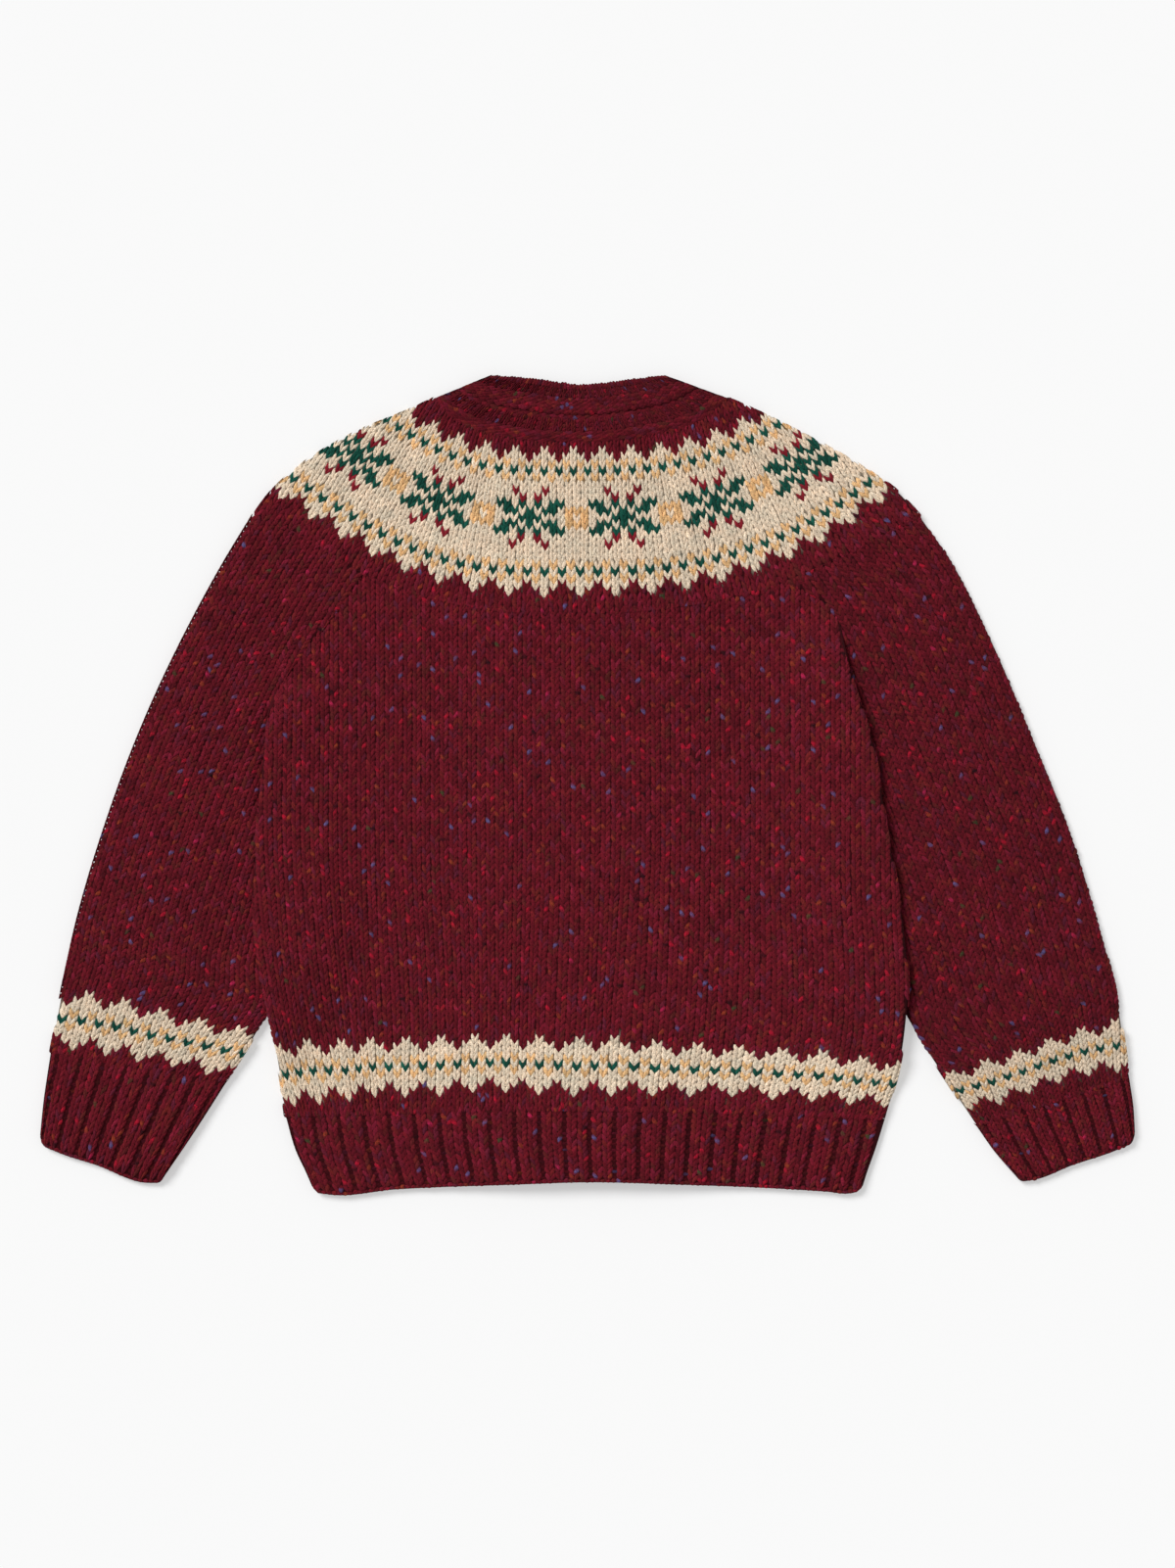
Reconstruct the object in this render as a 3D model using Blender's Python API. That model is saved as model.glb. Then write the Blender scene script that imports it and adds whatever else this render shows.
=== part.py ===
"""Fair isle cardigan for a child, laid flat with its back up.

Frame: the cardigan lies on the plane z = 0. +X is across the back towards the wearer's right,
+Y runs from the hem to the neck and +Z is up, out of the back. The origin is under the
middle of the whole garment. Sizes are in millimetres and are turned to metres when a mesh is made.

Every knitted piece is a wall of one thickness. A layer that lies low has its outside below and
a layer that lies high has its outside above, so raised ribs stand on the outside alone.
"""
import math

import bmesh
import bpy
import numpy as np

# ---------------------------------------------------------------- driving dimensions, mm
MM = 0.001
WALL = 2.8                # knitted cloth
PLY_GAP = 0.6             # air between two layers
SEAM = 0.35               # air between two pieces at a seam
FLAT_TUBE = 2 * WALL + PLY_GAP          # a sleeve pressed flat

BAND_WIDTH = 30.0         # button band
BAND_EDGE = BAND_WIDTH / 2 + 0.4        # where a front meets its band
BAND_BOTTOM = -233.0
BAND_TOP = 197.0
BUTTON_RADIUS = 7.5
BUTTON_THICK = 2.2
BUTTON_LIFT = BUTTON_THICK + 0.35       # the bands lie on the buttons
BUTTON_FIRST = -218.0
BUTTON_STEP = 79.0
BUTTON_COUNT = 6

CROWN = BUTTON_LIFT + WALL + PLY_GAP    # rise of the back over bands and buttons
CROWN_REACH = 92.0
CROWN_FADE = (203.0, 240.0)             # up the neck, where no band lies under the back

TUCK_LIFT = FLAT_TUBE + 0.7             # rise of the body's side over a sleeve
TUCK_FLAT = 5.0                         # the lift is level this far past the sleeve's edge
TUCK_END = 42.0                         # and gone this far past it
TUCK_RAMP = 31.0                        # it grows over this length below the underarm

SLEEVE_PUFF = 2.4         # rise of the sleeve's top layer in its middle
RIB_DEPTH = 1.3
HEM_RIBS = 23
CUFF_RIBS = 7
NECK_RIBS = 21

# ---------------------------------------------------------------- outlines, mm
# Body: side seams from the underarm to the hem rib
BODY_SIDE_LEFT = (
    # across,   up
    (-176.0,   66.5),
    (-182.5,   52.5),
    (-187.5,   35.5),
    (-191.5,    1.0),
    (-195.0,  -45.0),
    (-195.5,  -82.5),
    (-193.0, -108.5),
    (-187.5, -133.0),
    (-183.0, -155.0),
    (-177.5, -194.5),
)
BODY_SIDE_RIGHT = (
    # across,   up
    (145.0,   104.0),
    (149.5,    80.0),
    (157.0,    56.5),
    (167.0,    25.0),
    (176.0,   -28.0),
    (182.5,   -64.5),
    (187.0,  -100.0),
    (188.0,  -117.0),
    (186.5,  -140.0),
    (182.0,  -170.0),
    (175.0,  -196.0),
)
# Hem rib
HEM_TOP = (
    # across,   up
    (-177.5, -194.5),
    (0.0,    -190.5),
    (175.0,  -196.0),
)
HEM_SIDE_LEFT = (
    # across,   up
    (-177.5, -194.5),
    (-171.5, -215.0),
    (-165.0, -229.0),
    (-162.0, -236.0),
)
HEM_SIDE_RIGHT = (
    # across,   up
    (175.0,  -196.0),
    (169.0,  -215.0),
    (164.0,  -229.0),
    (162.0,  -235.5),
)
HEM_END = (
    # across,   up
    (-162.0, -236.0),
    (-159.0, -239.5),
    (-153.0, -240.7),
    (-112.5, -237.8),
    (-46.0,  -234.8),
    (0.0,    -233.2),
    (58.0,   -234.9),
    (141.0,  -239.2),
    (154.0,  -240.2),
    (159.0,  -239.0),
    (162.0,  -235.5),
)
# Yoke: the seam to back and sleeves, its folds on the shoulders, and the line of the neckband
YOKE_SEAM = (
    # across,   up
    (-196.5,  158.5),
    (-162.0,  142.5),
    (-131.0,  123.0),
    (-92.0,   110.0),
    (-49.0,   102.0),
    (-6.0,    100.0),
    (37.5,    103.0),
    (80.5,    109.5),
    (118.0,   119.5),
    (144.0,   131.0),
    (168.5,   143.5),
    (195.5,   158.0),
)
RAGLAN_TOP_LEFT = 2       # row of YOKE_SEAM where the left raglan starts
RAGLAN_TOP_RIGHT = 8
YOKE_FOLD_LEFT = (
    # across,   up
    (-196.5,  158.5),
    (-187.5,  170.5),
    (-169.0,  187.5),
    (-140.5,  205.0),
    (-101.0,  222.0),
    (-90.5,   227.0),
)
YOKE_FOLD_RIGHT = (
    # across,   up
    (195.5,   158.0),
    (184.5,   170.5),
    (160.5,   187.5),
    (129.0,   205.0),
    (94.5,    222.0),
    (83.0,    227.0),
)
NECK_SEAM = (
    # across,   up
    (-90.5,   227.0),
    (-79.0,   215.0),
    (-45.0,   203.5),
    (-6.0,    200.5),
    (32.0,    204.0),
    (67.0,    214.0),
    (83.0,    227.0),
)
NECK_EDGE = (
    # across,   up
    (-58.0,   240.5),
    (-31.5,   238.0),
    (-4.0,    234.5),
    (21.0,    237.0),
    (46.5,    240.5),
)
# Fronts: the neck is lower than at the back
FRONT_SEAM_LEFT = (
    # across,   up
    (-90.5,   227.0),
    (-70.0,   197.0),
    (-45.0,   175.0),
    (-BAND_EDGE, 164.0),
)
FRONT_SEAM_RIGHT = (
    # across,   up
    (83.0,    227.0),
    (62.0,    197.0),
    (40.0,    175.0),
    (BAND_EDGE, 164.0),
)
FRONT_EDGE_LEFT = (
    # across,   up
    (-58.0,   240.5),
    (-45.0,   219.0),
    (-30.0,   205.0),
    (-BAND_EDGE, 197.0),
)
FRONT_EDGE_RIGHT = (
    # across,   up
    (46.5,    240.5),
    (37.0,    219.0),
    (26.0,    205.0),
    (BAND_EDGE, 197.0),
)
# Sleeves: the outer fold, and the inner edge, part of which lies under the body
SLEEVE_OUTER_LEFT = (
    # across,   up
    (-196.5,  158.5),
    (-212.0,  133.0),
    (-237.0,   87.0),
    (-263.5,   29.5),
    (-284.5,  -28.0),
    (-297.5,  -71.0),
    (-307.5, -114.0),
    (-315.5, -156.5),
)
SLEEVE_INNER_LEFT = (
    # across,   up
    (-176.0,   66.5),
    (-182.5,   52.5),
    (-187.0,   36.5),
    (-182.0,   15.0),
    (-173.0,   -5.0),
    (-167.0,  -33.5),
    (-165.0,  -62.5),
    (-169.0,  -91.0),
    (-187.5, -133.0),
    (-212.0, -174.0),
)
SLEEVE_OUTER_RIGHT = (
    # across,   up
    (195.5,   158.0),
    (213.0,   133.0),
    (236.5,    87.0),
    (261.0,    29.5),
    (284.0,   -28.0),
    (297.5,   -71.0),
    (309.0,  -114.0),
    (318.5,  -172.0),
)
SLEEVE_INNER_RIGHT = (
    # across,   up
    (145.0,   104.0),
    (149.5,    80.0),
    (151.5,    58.5),
    (151.5,    32.5),
    (153.0,     1.0),
    (156.5,   -33.5),
    (161.0,   -65.5),
    (168.0,   -94.0),
    (187.0,  -135.0),
    (209.5,  -171.5),
    (228.5,  -200.0),
)
# Cuffs
CUFF_OUTER_LEFT = (
    # across,   up
    (-315.5, -156.5),
    (-320.0, -187.0),
    (-322.0, -207.0),
)
CUFF_INNER_LEFT = (
    # across,   up
    (-212.0, -174.0),
    (-232.5, -206.0),
    (-248.5, -229.5),
)
CUFF_END_LEFT = (
    # across,   up
    (-322.0, -207.0),
    (-320.0, -212.0),
    (-314.0, -215.0),
    (-289.0, -223.5),
    (-257.0, -234.0),
    (-251.5, -233.5),
    (-248.5, -229.5),
)
CUFF_OUTER_RIGHT = (
    # across,   up
    (318.5,  -172.0),
    (321.0,  -189.0),
    (322.0,  -205.5),
)
CUFF_INNER_RIGHT = (
    # across,   up
    (228.5,  -200.0),
    (239.0,  -215.0),
    (251.5,  -229.5),
)
CUFF_END_RIGHT = (
    # across,   up
    (322.0,  -205.5),
    (320.0,  -210.5),
    (314.0,  -213.5),
    (285.5,  -223.5),
    (260.5,  -232.5),
    (255.0,  -232.8),
    (251.5,  -229.5),
)

# ---------------------------------------------------------------- edges and spacing of the mesh, mm
SLEEVE_CLEAR = 0.45                     # between a sleeve and the body's edge
LINING_REACH = 0.6                      # the inside of a fold is round this far in
CRISP_EDGE = (2.0, 0.72)                # a seam: rounded this far in, down to this share of the wall
SOFT_EDGE = (6.0, 0.22)                 # the body's side, where a seam rolls under
TUBE_EDGE = (4.5, 0.25)                 # the inner edge of a sleeve
SEAM_SHARE = 0.75                       # wall's share on the line of a seam across a piece
TUBE_SEAM_SHARE = 0.8
EDGE_STEPS = (0.0, 1.2, 4.0, 10.0, 16.0, 23.0, 31.0, 40.0, 52.0)   # in from a side seam
MIDDLE_STEPS = 4                                                   # from there to a band
HEM_CORNER_STEPS = (0.0, 1.5, 3.5, 6.0)
HEM_FRONT_STEPS = (0.0, 2.5, 6.0, 16.0, 31.0, 52.0)
HEM_FRONT_MIDDLE = 5
BODY_ROW_HEIGHTS = (118.0, 113.0, 104.0, 96.0, 88.0, 80.0, 73.0, 66.5, 59.0, 51.0, 43.0, 34.0,
                    22.0, 6.0, -12.0, -31.0, -51.0, -71.0, -91.0, -109.0, -126.0, -143.0,
                    -162.0, -184.0)
FOLD_ANGLES = (0, 35, 65, 90)           # degrees round a fold, from its outermost line
FOLD_REACH = 4.5                        # a fold is round this far in from its edge
SLEEVE_STEPS = 7
SLEEVE_EDGE_STEPS = (4.0, 1.2, 0.0)     # to its inner edge
RAGLAN_ROWS = 5
TUBE_ROWS = 11                          # rows of a sleeve below the underarm
UNDERARM_SHARES = (0.018, 0.036, 0.055) # extra rows there, shares of the sleeve's inner edge
LAST_ROW = 1.4                          # a row this near the cuff, and the hem rib
CUFF_UNDER_STEPS = 6
YOKE_STEPS = 32
YOKE_FRONT_STEPS = 14
YOKE_ROWS = (0.0, 0.02, 0.25, 0.5, 0.75, 0.98, 1.0)
YOKE_INNER_ROWS = (0.0, 0.25, 0.5, 0.75, 1.0)
NECK_FRONT_STEPS = 8

# ---------------------------------------------------------------- profiles
# Hem and cuff ribs: share of the way down, how much rib shows, share of the wall's thickness
RIB_PROFILE = np.array((
    (0.000, 0.00, 0.75),
    (0.035, 0.00, 1.00),
    (0.100, 0.15, 1.00),
    (0.220, 1.00, 1.00),
    (0.900, 1.00, 1.00),
    (0.965, 0.60, 0.80),
    (1.000, 0.00, 0.35),
))
# Neckband: share of the way up, raised by mm, how much rib shows
NECK_PROFILE = np.array((
    (0.00,  0.0, 0.0),
    (0.10,  0.7, 0.0),
    (0.22, -0.3, 0.6),
    (0.38,  0.0, 1.0),
    (0.46, -0.9, 0.4),
    (0.56,  0.9, 0.2),
    (0.78,  1.1, 0.4),
    (1.00, -0.4, 0.8),
))
NECK_RIB_DEPTH = 0.8
BAND_RIB_DEPTH = 0.7
BAND_COLUMNS = 13
BAND_END = 1.5                          # its ends are rounded this far in
BAND_END_SHARE = 0.5
BAND_EDGE_ROUND = (2.0, 0.6)
# Button: share of its radius and of its thickness, from its face, which lies down, to its back
BUTTON_PROFILE = (
    (0.55, 0.30),
    (0.72, 0.02),
    (0.90, 0.00),
    (1.00, 0.35),
    (0.94, 1.00),
)
BUTTON_SIDES = 20

BURGUNDY = (0.155, 0.017, 0.026, 1.0)
DARK_HORN = (0.05, 0.022, 0.014, 1.0)


# ---------------------------------------------------------------- curves and blends
def smooth(value):
    """Ease from 0 to 1: 3 t^2 - 2 t^3, held level outside."""
    t = np.clip(value, 0.0, 1.0)
    return t * t * (3.0 - 2.0 * t)


def round_off(distance, reach, low):
    """Share of the wall's thickness near an edge: a quarter ellipse from low up to 1."""
    t = np.clip(np.asarray(distance) / reach, 0.0, 1.0)
    return low + (1.0 - low) * np.sqrt(1.0 - (1.0 - t) ** 2)


def dense(points, per_span=24):
    """A cubic Hermite curve through the points, with chord-length tangents, as close samples."""
    p = np.array(points, float)
    span = np.linalg.norm(np.diff(p, axis=0), axis=1)
    slope = np.diff(p, axis=0) / span[:, None]
    tangent = np.empty_like(p)
    tangent[0], tangent[-1] = slope[0], slope[-1]
    weight = (span[1:] / (span[1:] + span[:-1]))[:, None]
    tangent[1:-1] = slope[:-1] * weight + slope[1:] * (1.0 - weight)
    t = np.linspace(0.0, 1.0, per_span, endpoint=False)[None, :, None]
    a, b = p[:-1, None], p[1:, None]
    ta = tangent[:-1, None] * span[:, None, None]
    tb = tangent[1:, None] * span[:, None, None]
    body = ((2 * t**3 - 3 * t**2 + 1) * a + (t**3 - 2 * t**2 + t) * ta
            + (3 * t**2 - 2 * t**3) * b + (t**3 - t**2) * tb)
    return np.vstack([body.reshape(-1, 2), p[-1:]])


def along(samples, fraction):
    """Points at fractions of the length of a sampled curve."""
    step = np.linalg.norm(np.diff(samples, axis=0), axis=1)
    length = np.concatenate([[0.0], np.cumsum(step)])
    place = np.asarray(fraction) * length[-1]
    return np.stack([np.interp(place, length, samples[:, k]) for k in (0, 1)], axis=-1)


def length_of(samples):
    return float(np.linalg.norm(np.diff(samples, axis=0), axis=1).sum())


def across_at(samples, up):
    """Across for a height, on a curve that runs downwards."""
    return np.interp(-np.asarray(up), -samples[:, 1], samples[:, 0])


def up_at(samples, across):
    """Height for an across, on a curve that runs to the right."""
    return np.interp(across, samples[:, 0], samples[:, 1])


def piece_of(samples, first_row, last_row, per_span=24):
    """The samples between two rows of the table they were made from."""
    return samples[first_row * per_span:last_row * per_span + 1]


SIDE = {"left": dense(BODY_SIDE_LEFT), "right": dense(BODY_SIDE_RIGHT)}
INNER = {"left": dense(SLEEVE_INNER_LEFT), "right": dense(SLEEVE_INNER_RIGHT)}
OUTER = {"left": dense(SLEEVE_OUTER_LEFT), "right": dense(SLEEVE_OUTER_RIGHT)}
SEAM_LINE = dense(YOKE_SEAM)
CORNER = {"left": np.array(YOKE_SEAM[RAGLAN_TOP_LEFT]), "right": np.array(YOKE_SEAM[RAGLAN_TOP_RIGHT])}
UNDERARM = {"left": np.array(BODY_SIDE_LEFT[0]), "right": np.array(BODY_SIDE_RIGHT[0])}
SIGN = {"left": -1.0, "right": 1.0}


# ---------------------------------------------------------------- heights of the layers
def tuck_lift(x, y):
    """Rise of the body where a sleeve lies under its side.

    Level over the sleeve, then an ease down to nothing with the distance inward from the
    sleeve's inner edge; it grows from nothing over a short ramp below each underarm.
    """
    rise = np.zeros(np.broadcast(x, y).shape)
    for side in ("left", "right"):
        inward = SIGN[side] * (across_at(INNER[side], y) - x)
        over = 1.0 - smooth((inward - TUCK_FLAT) / (TUCK_END - TUCK_FLAT))
        ramp = smooth((UNDERARM[side][1] - y) / TUCK_RAMP)
        rise = np.maximum(rise, TUCK_LIFT * over * ramp)
    return rise


def crown(x, y):
    """Rise of the back over the bands and buttons: level over them, then a long ease down."""
    fade = 1.0 - smooth((y - CROWN_FADE[0]) / (CROWN_FADE[1] - CROWN_FADE[0]))
    return CROWN * (1.0 - smooth((np.abs(x) - BAND_EDGE) / CROWN_REACH)) * fade


def low_floor(x, y):
    """Underside of the front layer. The left front meets the upper band, the right the lower."""
    share = np.where(x < 0, 1.0, BUTTON_LIFT / CROWN)
    return tuck_lift(x, y) + crown(x, y) * share


def high_floor(x, y):
    """Underside of the back layer."""
    return tuck_lift(x, y) + crown(x, y) + WALL + PLY_GAP


# ---------------------------------------------------------------- meshes
def make_solid(name, vertices, faces, colour, roughness=0.9):
    """A closed mesh in metres from millimetres, facing out, with its own material."""
    mesh = bpy.data.meshes.new(name)
    mesh.from_pydata((np.asarray(vertices) * MM).tolist(), [], faces)
    work = bmesh.new()
    work.from_mesh(mesh)
    bmesh.ops.recalc_face_normals(work, faces=work.faces)
    work.to_mesh(mesh)
    work.free()
    mesh.shade_smooth()
    mesh.set_sharp_from_angle(angle=math.radians(50))
    item = bpy.data.objects.new(name, mesh)
    CARDIGAN.objects.link(item)
    material = bpy.data.materials.new(name)
    material.use_nodes = True
    shader = material.node_tree.nodes["Principled BSDF"]
    shader.inputs["Base Color"].default_value = colour
    shader.inputs["Roughness"].default_value = roughness
    shader.inputs["Metallic"].default_value = 0.0
    mesh.materials.append(material)
    return item


def grid_faces(first, rows, columns, closed):
    """Quads of a grid of points numbered row by row from first."""
    last = columns if closed else columns - 1
    return [(first + r * columns + c, first + r * columns + (c + 1) % columns,
             first + (r + 1) * columns + (c + 1) % columns, first + (r + 1) * columns + c)
            for r in range(rows - 1) for c in range(last)]


def zip_edges(outer_line, outer_ids, inner_line, inner_ids):
    """Triangles that close the gap between two lines of points, taking the nearer step each time."""
    share = []
    for line in (outer_line, inner_line):
        step = np.linalg.norm(np.diff(line, axis=0), axis=1)
        share.append(np.concatenate([[0.0], np.cumsum(step)]) / step.sum())
    i = j = 0
    faces = []
    while i < len(outer_ids) - 1 or j < len(inner_ids) - 1:
        next_outer = share[0][i + 1] if i < len(outer_ids) - 1 else 2.0
        next_inner = share[1][j + 1] if j < len(inner_ids) - 1 else 2.0
        if next_outer <= next_inner:
            faces.append((outer_ids[i], outer_ids[i + 1], inner_ids[j]))
            i += 1
        else:
            faces.append((outer_ids[i], inner_ids[j + 1], inner_ids[j]))
            j += 1
    return faces


def make_wall(name, outer, inner, closed=False):
    """A wall between an outer and an inner grid of points (rows, columns, 3).

    The two grids have the same columns, and their first and last rows face each other. The
    inner one may have fewer rows, where the inside is plain.
    """
    rows, columns = outer.shape[:2]
    inner_rows = inner.shape[0]
    start = rows * columns
    faces = grid_faces(0, rows, columns, closed)
    faces += [face[::-1] for face in grid_faces(start, inner_rows, columns, closed)]
    last = columns if closed else columns - 1
    for outer_row, inner_row in ((0, 0), (rows - 1, inner_rows - 1)):
        for c in range(last):
            d = (c + 1) % columns
            faces.append((outer_row * columns + c, outer_row * columns + d,
                          start + inner_row * columns + d, start + inner_row * columns + c))
    if not closed:
        for c in (0, columns - 1):
            faces += zip_edges(outer[:, c, :2], [r * columns + c for r in range(rows)],
                               inner[:, c, :2], [start + r * columns + c for r in range(inner_rows)])
    points = np.vstack([outer.reshape(-1, 3), inner.reshape(-1, 3)])
    return make_solid(name, points, faces, BURGUNDY)


def lift_plan(plan, height):
    """Points (…, 3) from plan points (…, 2) and heights."""
    return np.concatenate([plan, np.asarray(height)[..., None]], axis=-1)


def rib_wave(column, depth=RIB_DEPTH):
    """Three columns of points for a rib: one in the groove and two on the crest."""
    return depth * np.array([-1.0, 0.0, 0.0])[np.asarray(column) % 3]


# ---------------------------------------------------------------- body
def body_columns(left, right):
    """Across of the columns of one row, with lines on both edges of the front bands."""
    steps = np.array(EDGE_STEPS)
    middle = np.linspace(0.0, 1.0, MIDDLE_STEPS + 1)[1:]
    a = left + steps
    b = right - steps
    left_half = np.concatenate([a, a[-1] + (-BAND_EDGE - a[-1]) * middle])
    right_half = np.concatenate([b, b[-1] + (BAND_EDGE - b[-1]) * middle])
    return np.concatenate([left_half, right_half[::-1]])


def body_side(side, up):
    """Across of the body's side at a height: a straight raglan, then the side seam."""
    raglan = np.array([CORNER[side], UNDERARM[side]])
    return np.where(np.asarray(up) > UNDERARM[side][1], across_at(raglan, up), across_at(SIDE[side], up))


def above_chord(samples, share):
    """Height of a curve that runs to the right, over the straight line between its ends."""
    chord = samples[0] + (samples[-1] - samples[0]) * share[:, None]
    return up_at(samples, chord[:, 0]) - chord[:, 1]


def body_plan():
    """Rows of points of the back and fronts in plan, from the yoke seam to the hem rib.

    Each row joins its two side points. The sag of the yoke seam, and the bow of the hem line,
    are carried into the rows in shares that fade with the height.
    """
    seam = piece_of(SEAM_LINE, RAGLAN_TOP_LEFT, RAGLAN_TOP_RIGHT)
    hem = dense(HEM_TOP)
    top, bottom = seam[0, 1], hem[0, 1]
    heights = [(seam[0, 1], seam[-1, 1])] + [(up, up) for up in BODY_ROW_HEIGHTS]
    heights += [(hem[0, 1] + rise, hem[-1, 1] + rise) for rise in (LAST_ROW, 0.0)]
    rows = []
    for left_up, right_up in heights:
        left, right = body_side("left", left_up), body_side("right", right_up)
        x = body_columns(left, right)
        share = (x - left) / (right - left)
        down = (top - left_up) / (top - bottom)
        sag = above_chord(seam, share)
        bow = above_chord(hem, share)
        up = left_up + (right_up - left_up) * share
        rows.append(np.stack([x, up + (1.0 - down) * sag + down * bow], axis=-1))
    return np.array(rows)


def side_distance(plan):
    """Distance of each point from the nearer side edge of its row."""
    x = plan[..., 0]
    return np.minimum(x - x[:, :1], x[:, -1:] - x)


def side_share(plan):
    """How thick the wall is towards its side: a crisp seam on the raglans, a round side below."""
    distance = side_distance(plan)
    left = plan[..., 0] < 0
    underarm = np.where(left, UNDERARM["left"][1], UNDERARM["right"][1])
    row_up = np.where(left, plan[:, :1, 1], plan[:, -1:, 1])
    below = smooth((underarm - row_up) / TUCK_RAMP + 0.2)
    return round_off(distance, *CRISP_EDGE) * (1.0 - below) + round_off(distance, *SOFT_EDGE) * below


def end_share(rows):
    """Crisp seam at the first and last row, as a column of shares."""
    share = np.ones((rows, 1))
    share[0] = share[-1] = SEAM_SHARE
    return share


def build_body():
    plan = body_plan()
    share = side_share(plan) * end_share(len(plan))
    x, y = plan[..., 0], plan[..., 1]
    floor = high_floor(x, y)
    make_wall("back", lift_plan(plan, floor + WALL * share), lift_plan(plan, floor))
    half = plan.shape[1] // 2
    for name, part in (("front_left", np.s_[:, :half]), ("front_right", np.s_[:, half:])):
        piece = plan[part]
        floor = low_floor(piece[..., 0], piece[..., 1])
        under = lift_plan(piece, floor + WALL * (1.0 - share[part]))
        make_wall(name, under, lift_plan(piece, floor + WALL))


# ---------------------------------------------------------------- hem rib
def patch(bottom, top, left, right, across, up):
    """A Coons patch: the sum of the two ruled surfaces less the corners' bilinear one.

    bottom and top hold a point for each across share, left and right one for each up share.
    """
    s, v = np.asarray(across)[None, :, None], np.asarray(up)[:, None, None]
    ruled = (1 - v) * bottom[None] + v * top[None] + (1 - s) * left[:, None] + s * right[:, None]
    corners = ((1 - s) * (1 - v) * left[0] + s * (1 - v) * right[0]
               + (1 - s) * v * left[-1] + s * v * right[-1])
    return ruled - corners


def rib_patch(top, end, left, right, shares):
    """Plan of a hem or cuff rib: columns at shares of its width, rows as its profile says."""
    down = RIB_PROFILE[:, 0]
    return patch(along(top, shares), along(end, shares), along(left, down), along(right, down),
                 shares, down)


def build_hem():
    """The back's rib in one piece, and the fronts' plain ones from each side to its band."""
    rib_on, wall_on = RIB_PROFILE[:, 1:2], RIB_PROFILE[:, 2:3]
    top = dense(HEM_TOP) - (0.0, SEAM)
    end = dense(HEM_END)
    left = dense(HEM_SIDE_LEFT)
    right = dense(HEM_SIDE_RIGHT)
    left[0, 1] -= SEAM
    right[0, 1] -= SEAM
    total = length_of(top)
    corner = np.array(HEM_CORNER_STEPS) / total
    ribbed = np.linspace(corner[-1], 1.0 - corner[-1], 3 * HEM_RIBS + 1)
    shares = np.concatenate([corner[:-1], ribbed, 1.0 - corner[-2::-1]])
    plan = rib_patch(top, end, left, right, shares)
    floor = high_floor(plan[..., 0], plan[..., 1])
    side = round_off(side_distance(plan), *SOFT_EDGE)
    wave = np.zeros(len(shares))
    wave[len(corner):-len(corner)] = rib_wave(np.arange(3 * HEM_RIBS - 1) + 2)
    outer = lift_plan(plan, floor + WALL * side * wall_on + wave * rib_on)
    make_wall("hem_rib_back", outer, lift_plan(plan, floor)[[0, -1]])

    near_side = np.array(HEM_FRONT_STEPS) / total
    at_band = 0.5 - BAND_EDGE / total
    half = np.concatenate([near_side, np.linspace(near_side[-1], at_band, HEM_FRONT_MIDDLE + 1)[1:]])
    for name, shares, outside, inside, edge in (
            ("left", half, 0, -1, -BAND_EDGE), ("right", 1.0 - half[::-1], -1, 0, BAND_EDGE)):
        part = rib_patch(top, end, left, right, shares)
        part[:, inside, 0] = edge
        floor = low_floor(part[..., 0], part[..., 1])
        from_side = np.abs(part[..., 0] - part[:, [outside], 0])
        thick = round_off(from_side, *SOFT_EDGE) * wall_on
        under = lift_plan(part, floor + WALL * (1.0 - thick))
        make_wall("hem_rib_front_" + name, under, lift_plan(part, floor + WALL)[[0, -1]])


# ---------------------------------------------------------------- sleeves
def fold_steps(reach):
    """Distances in from a fold and heights about its middle, from the fold to its full height."""
    angle = np.radians(FOLD_ANGLES)
    return reach * (1.0 - np.cos(angle)), np.sin(angle)


def sleeve_edges(side):
    """Where each row of a sleeve starts, on the outer fold, and ends, on its inner edge.

    The first rows end on the raglan, the rest on the seam below the underarm. Also gives the
    yoke seam from the fold to the raglan, which the first row follows, and the rows' shares
    of the sleeve's length.
    """
    if side == "left":
        seam = piece_of(SEAM_LINE, 0, RAGLAN_TOP_LEFT)
    else:
        seam = piece_of(SEAM_LINE, RAGLAN_TOP_RIGHT, len(YOKE_SEAM) - 1)[::-1]
    clear = np.array([SIGN[side] * SLEEVE_CLEAR, 0.0])
    raglan = np.array([CORNER[side], UNDERARM[side]]) + clear
    inner = INNER[side] + clear
    upper = length_of(raglan) / (length_of(raglan) + length_of(inner))
    down_raglan = np.linspace(0.0, 1.0, RAGLAN_ROWS)
    down_inner = np.concatenate([UNDERARM_SHARES, np.linspace(0.0, 1.0, TUBE_ROWS + 1)[1:],
                                 [1.0 - LAST_ROW / length_of(inner)]])
    down_inner.sort()
    inner_points = np.vstack([along(raglan, down_raglan), along(inner, down_inner)])
    fraction = np.concatenate([down_raglan * upper, upper + (1.0 - upper) * down_inner])
    outer_points = along(OUTER[side], fraction)
    return seam, inner_points, outer_points, fraction


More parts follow.
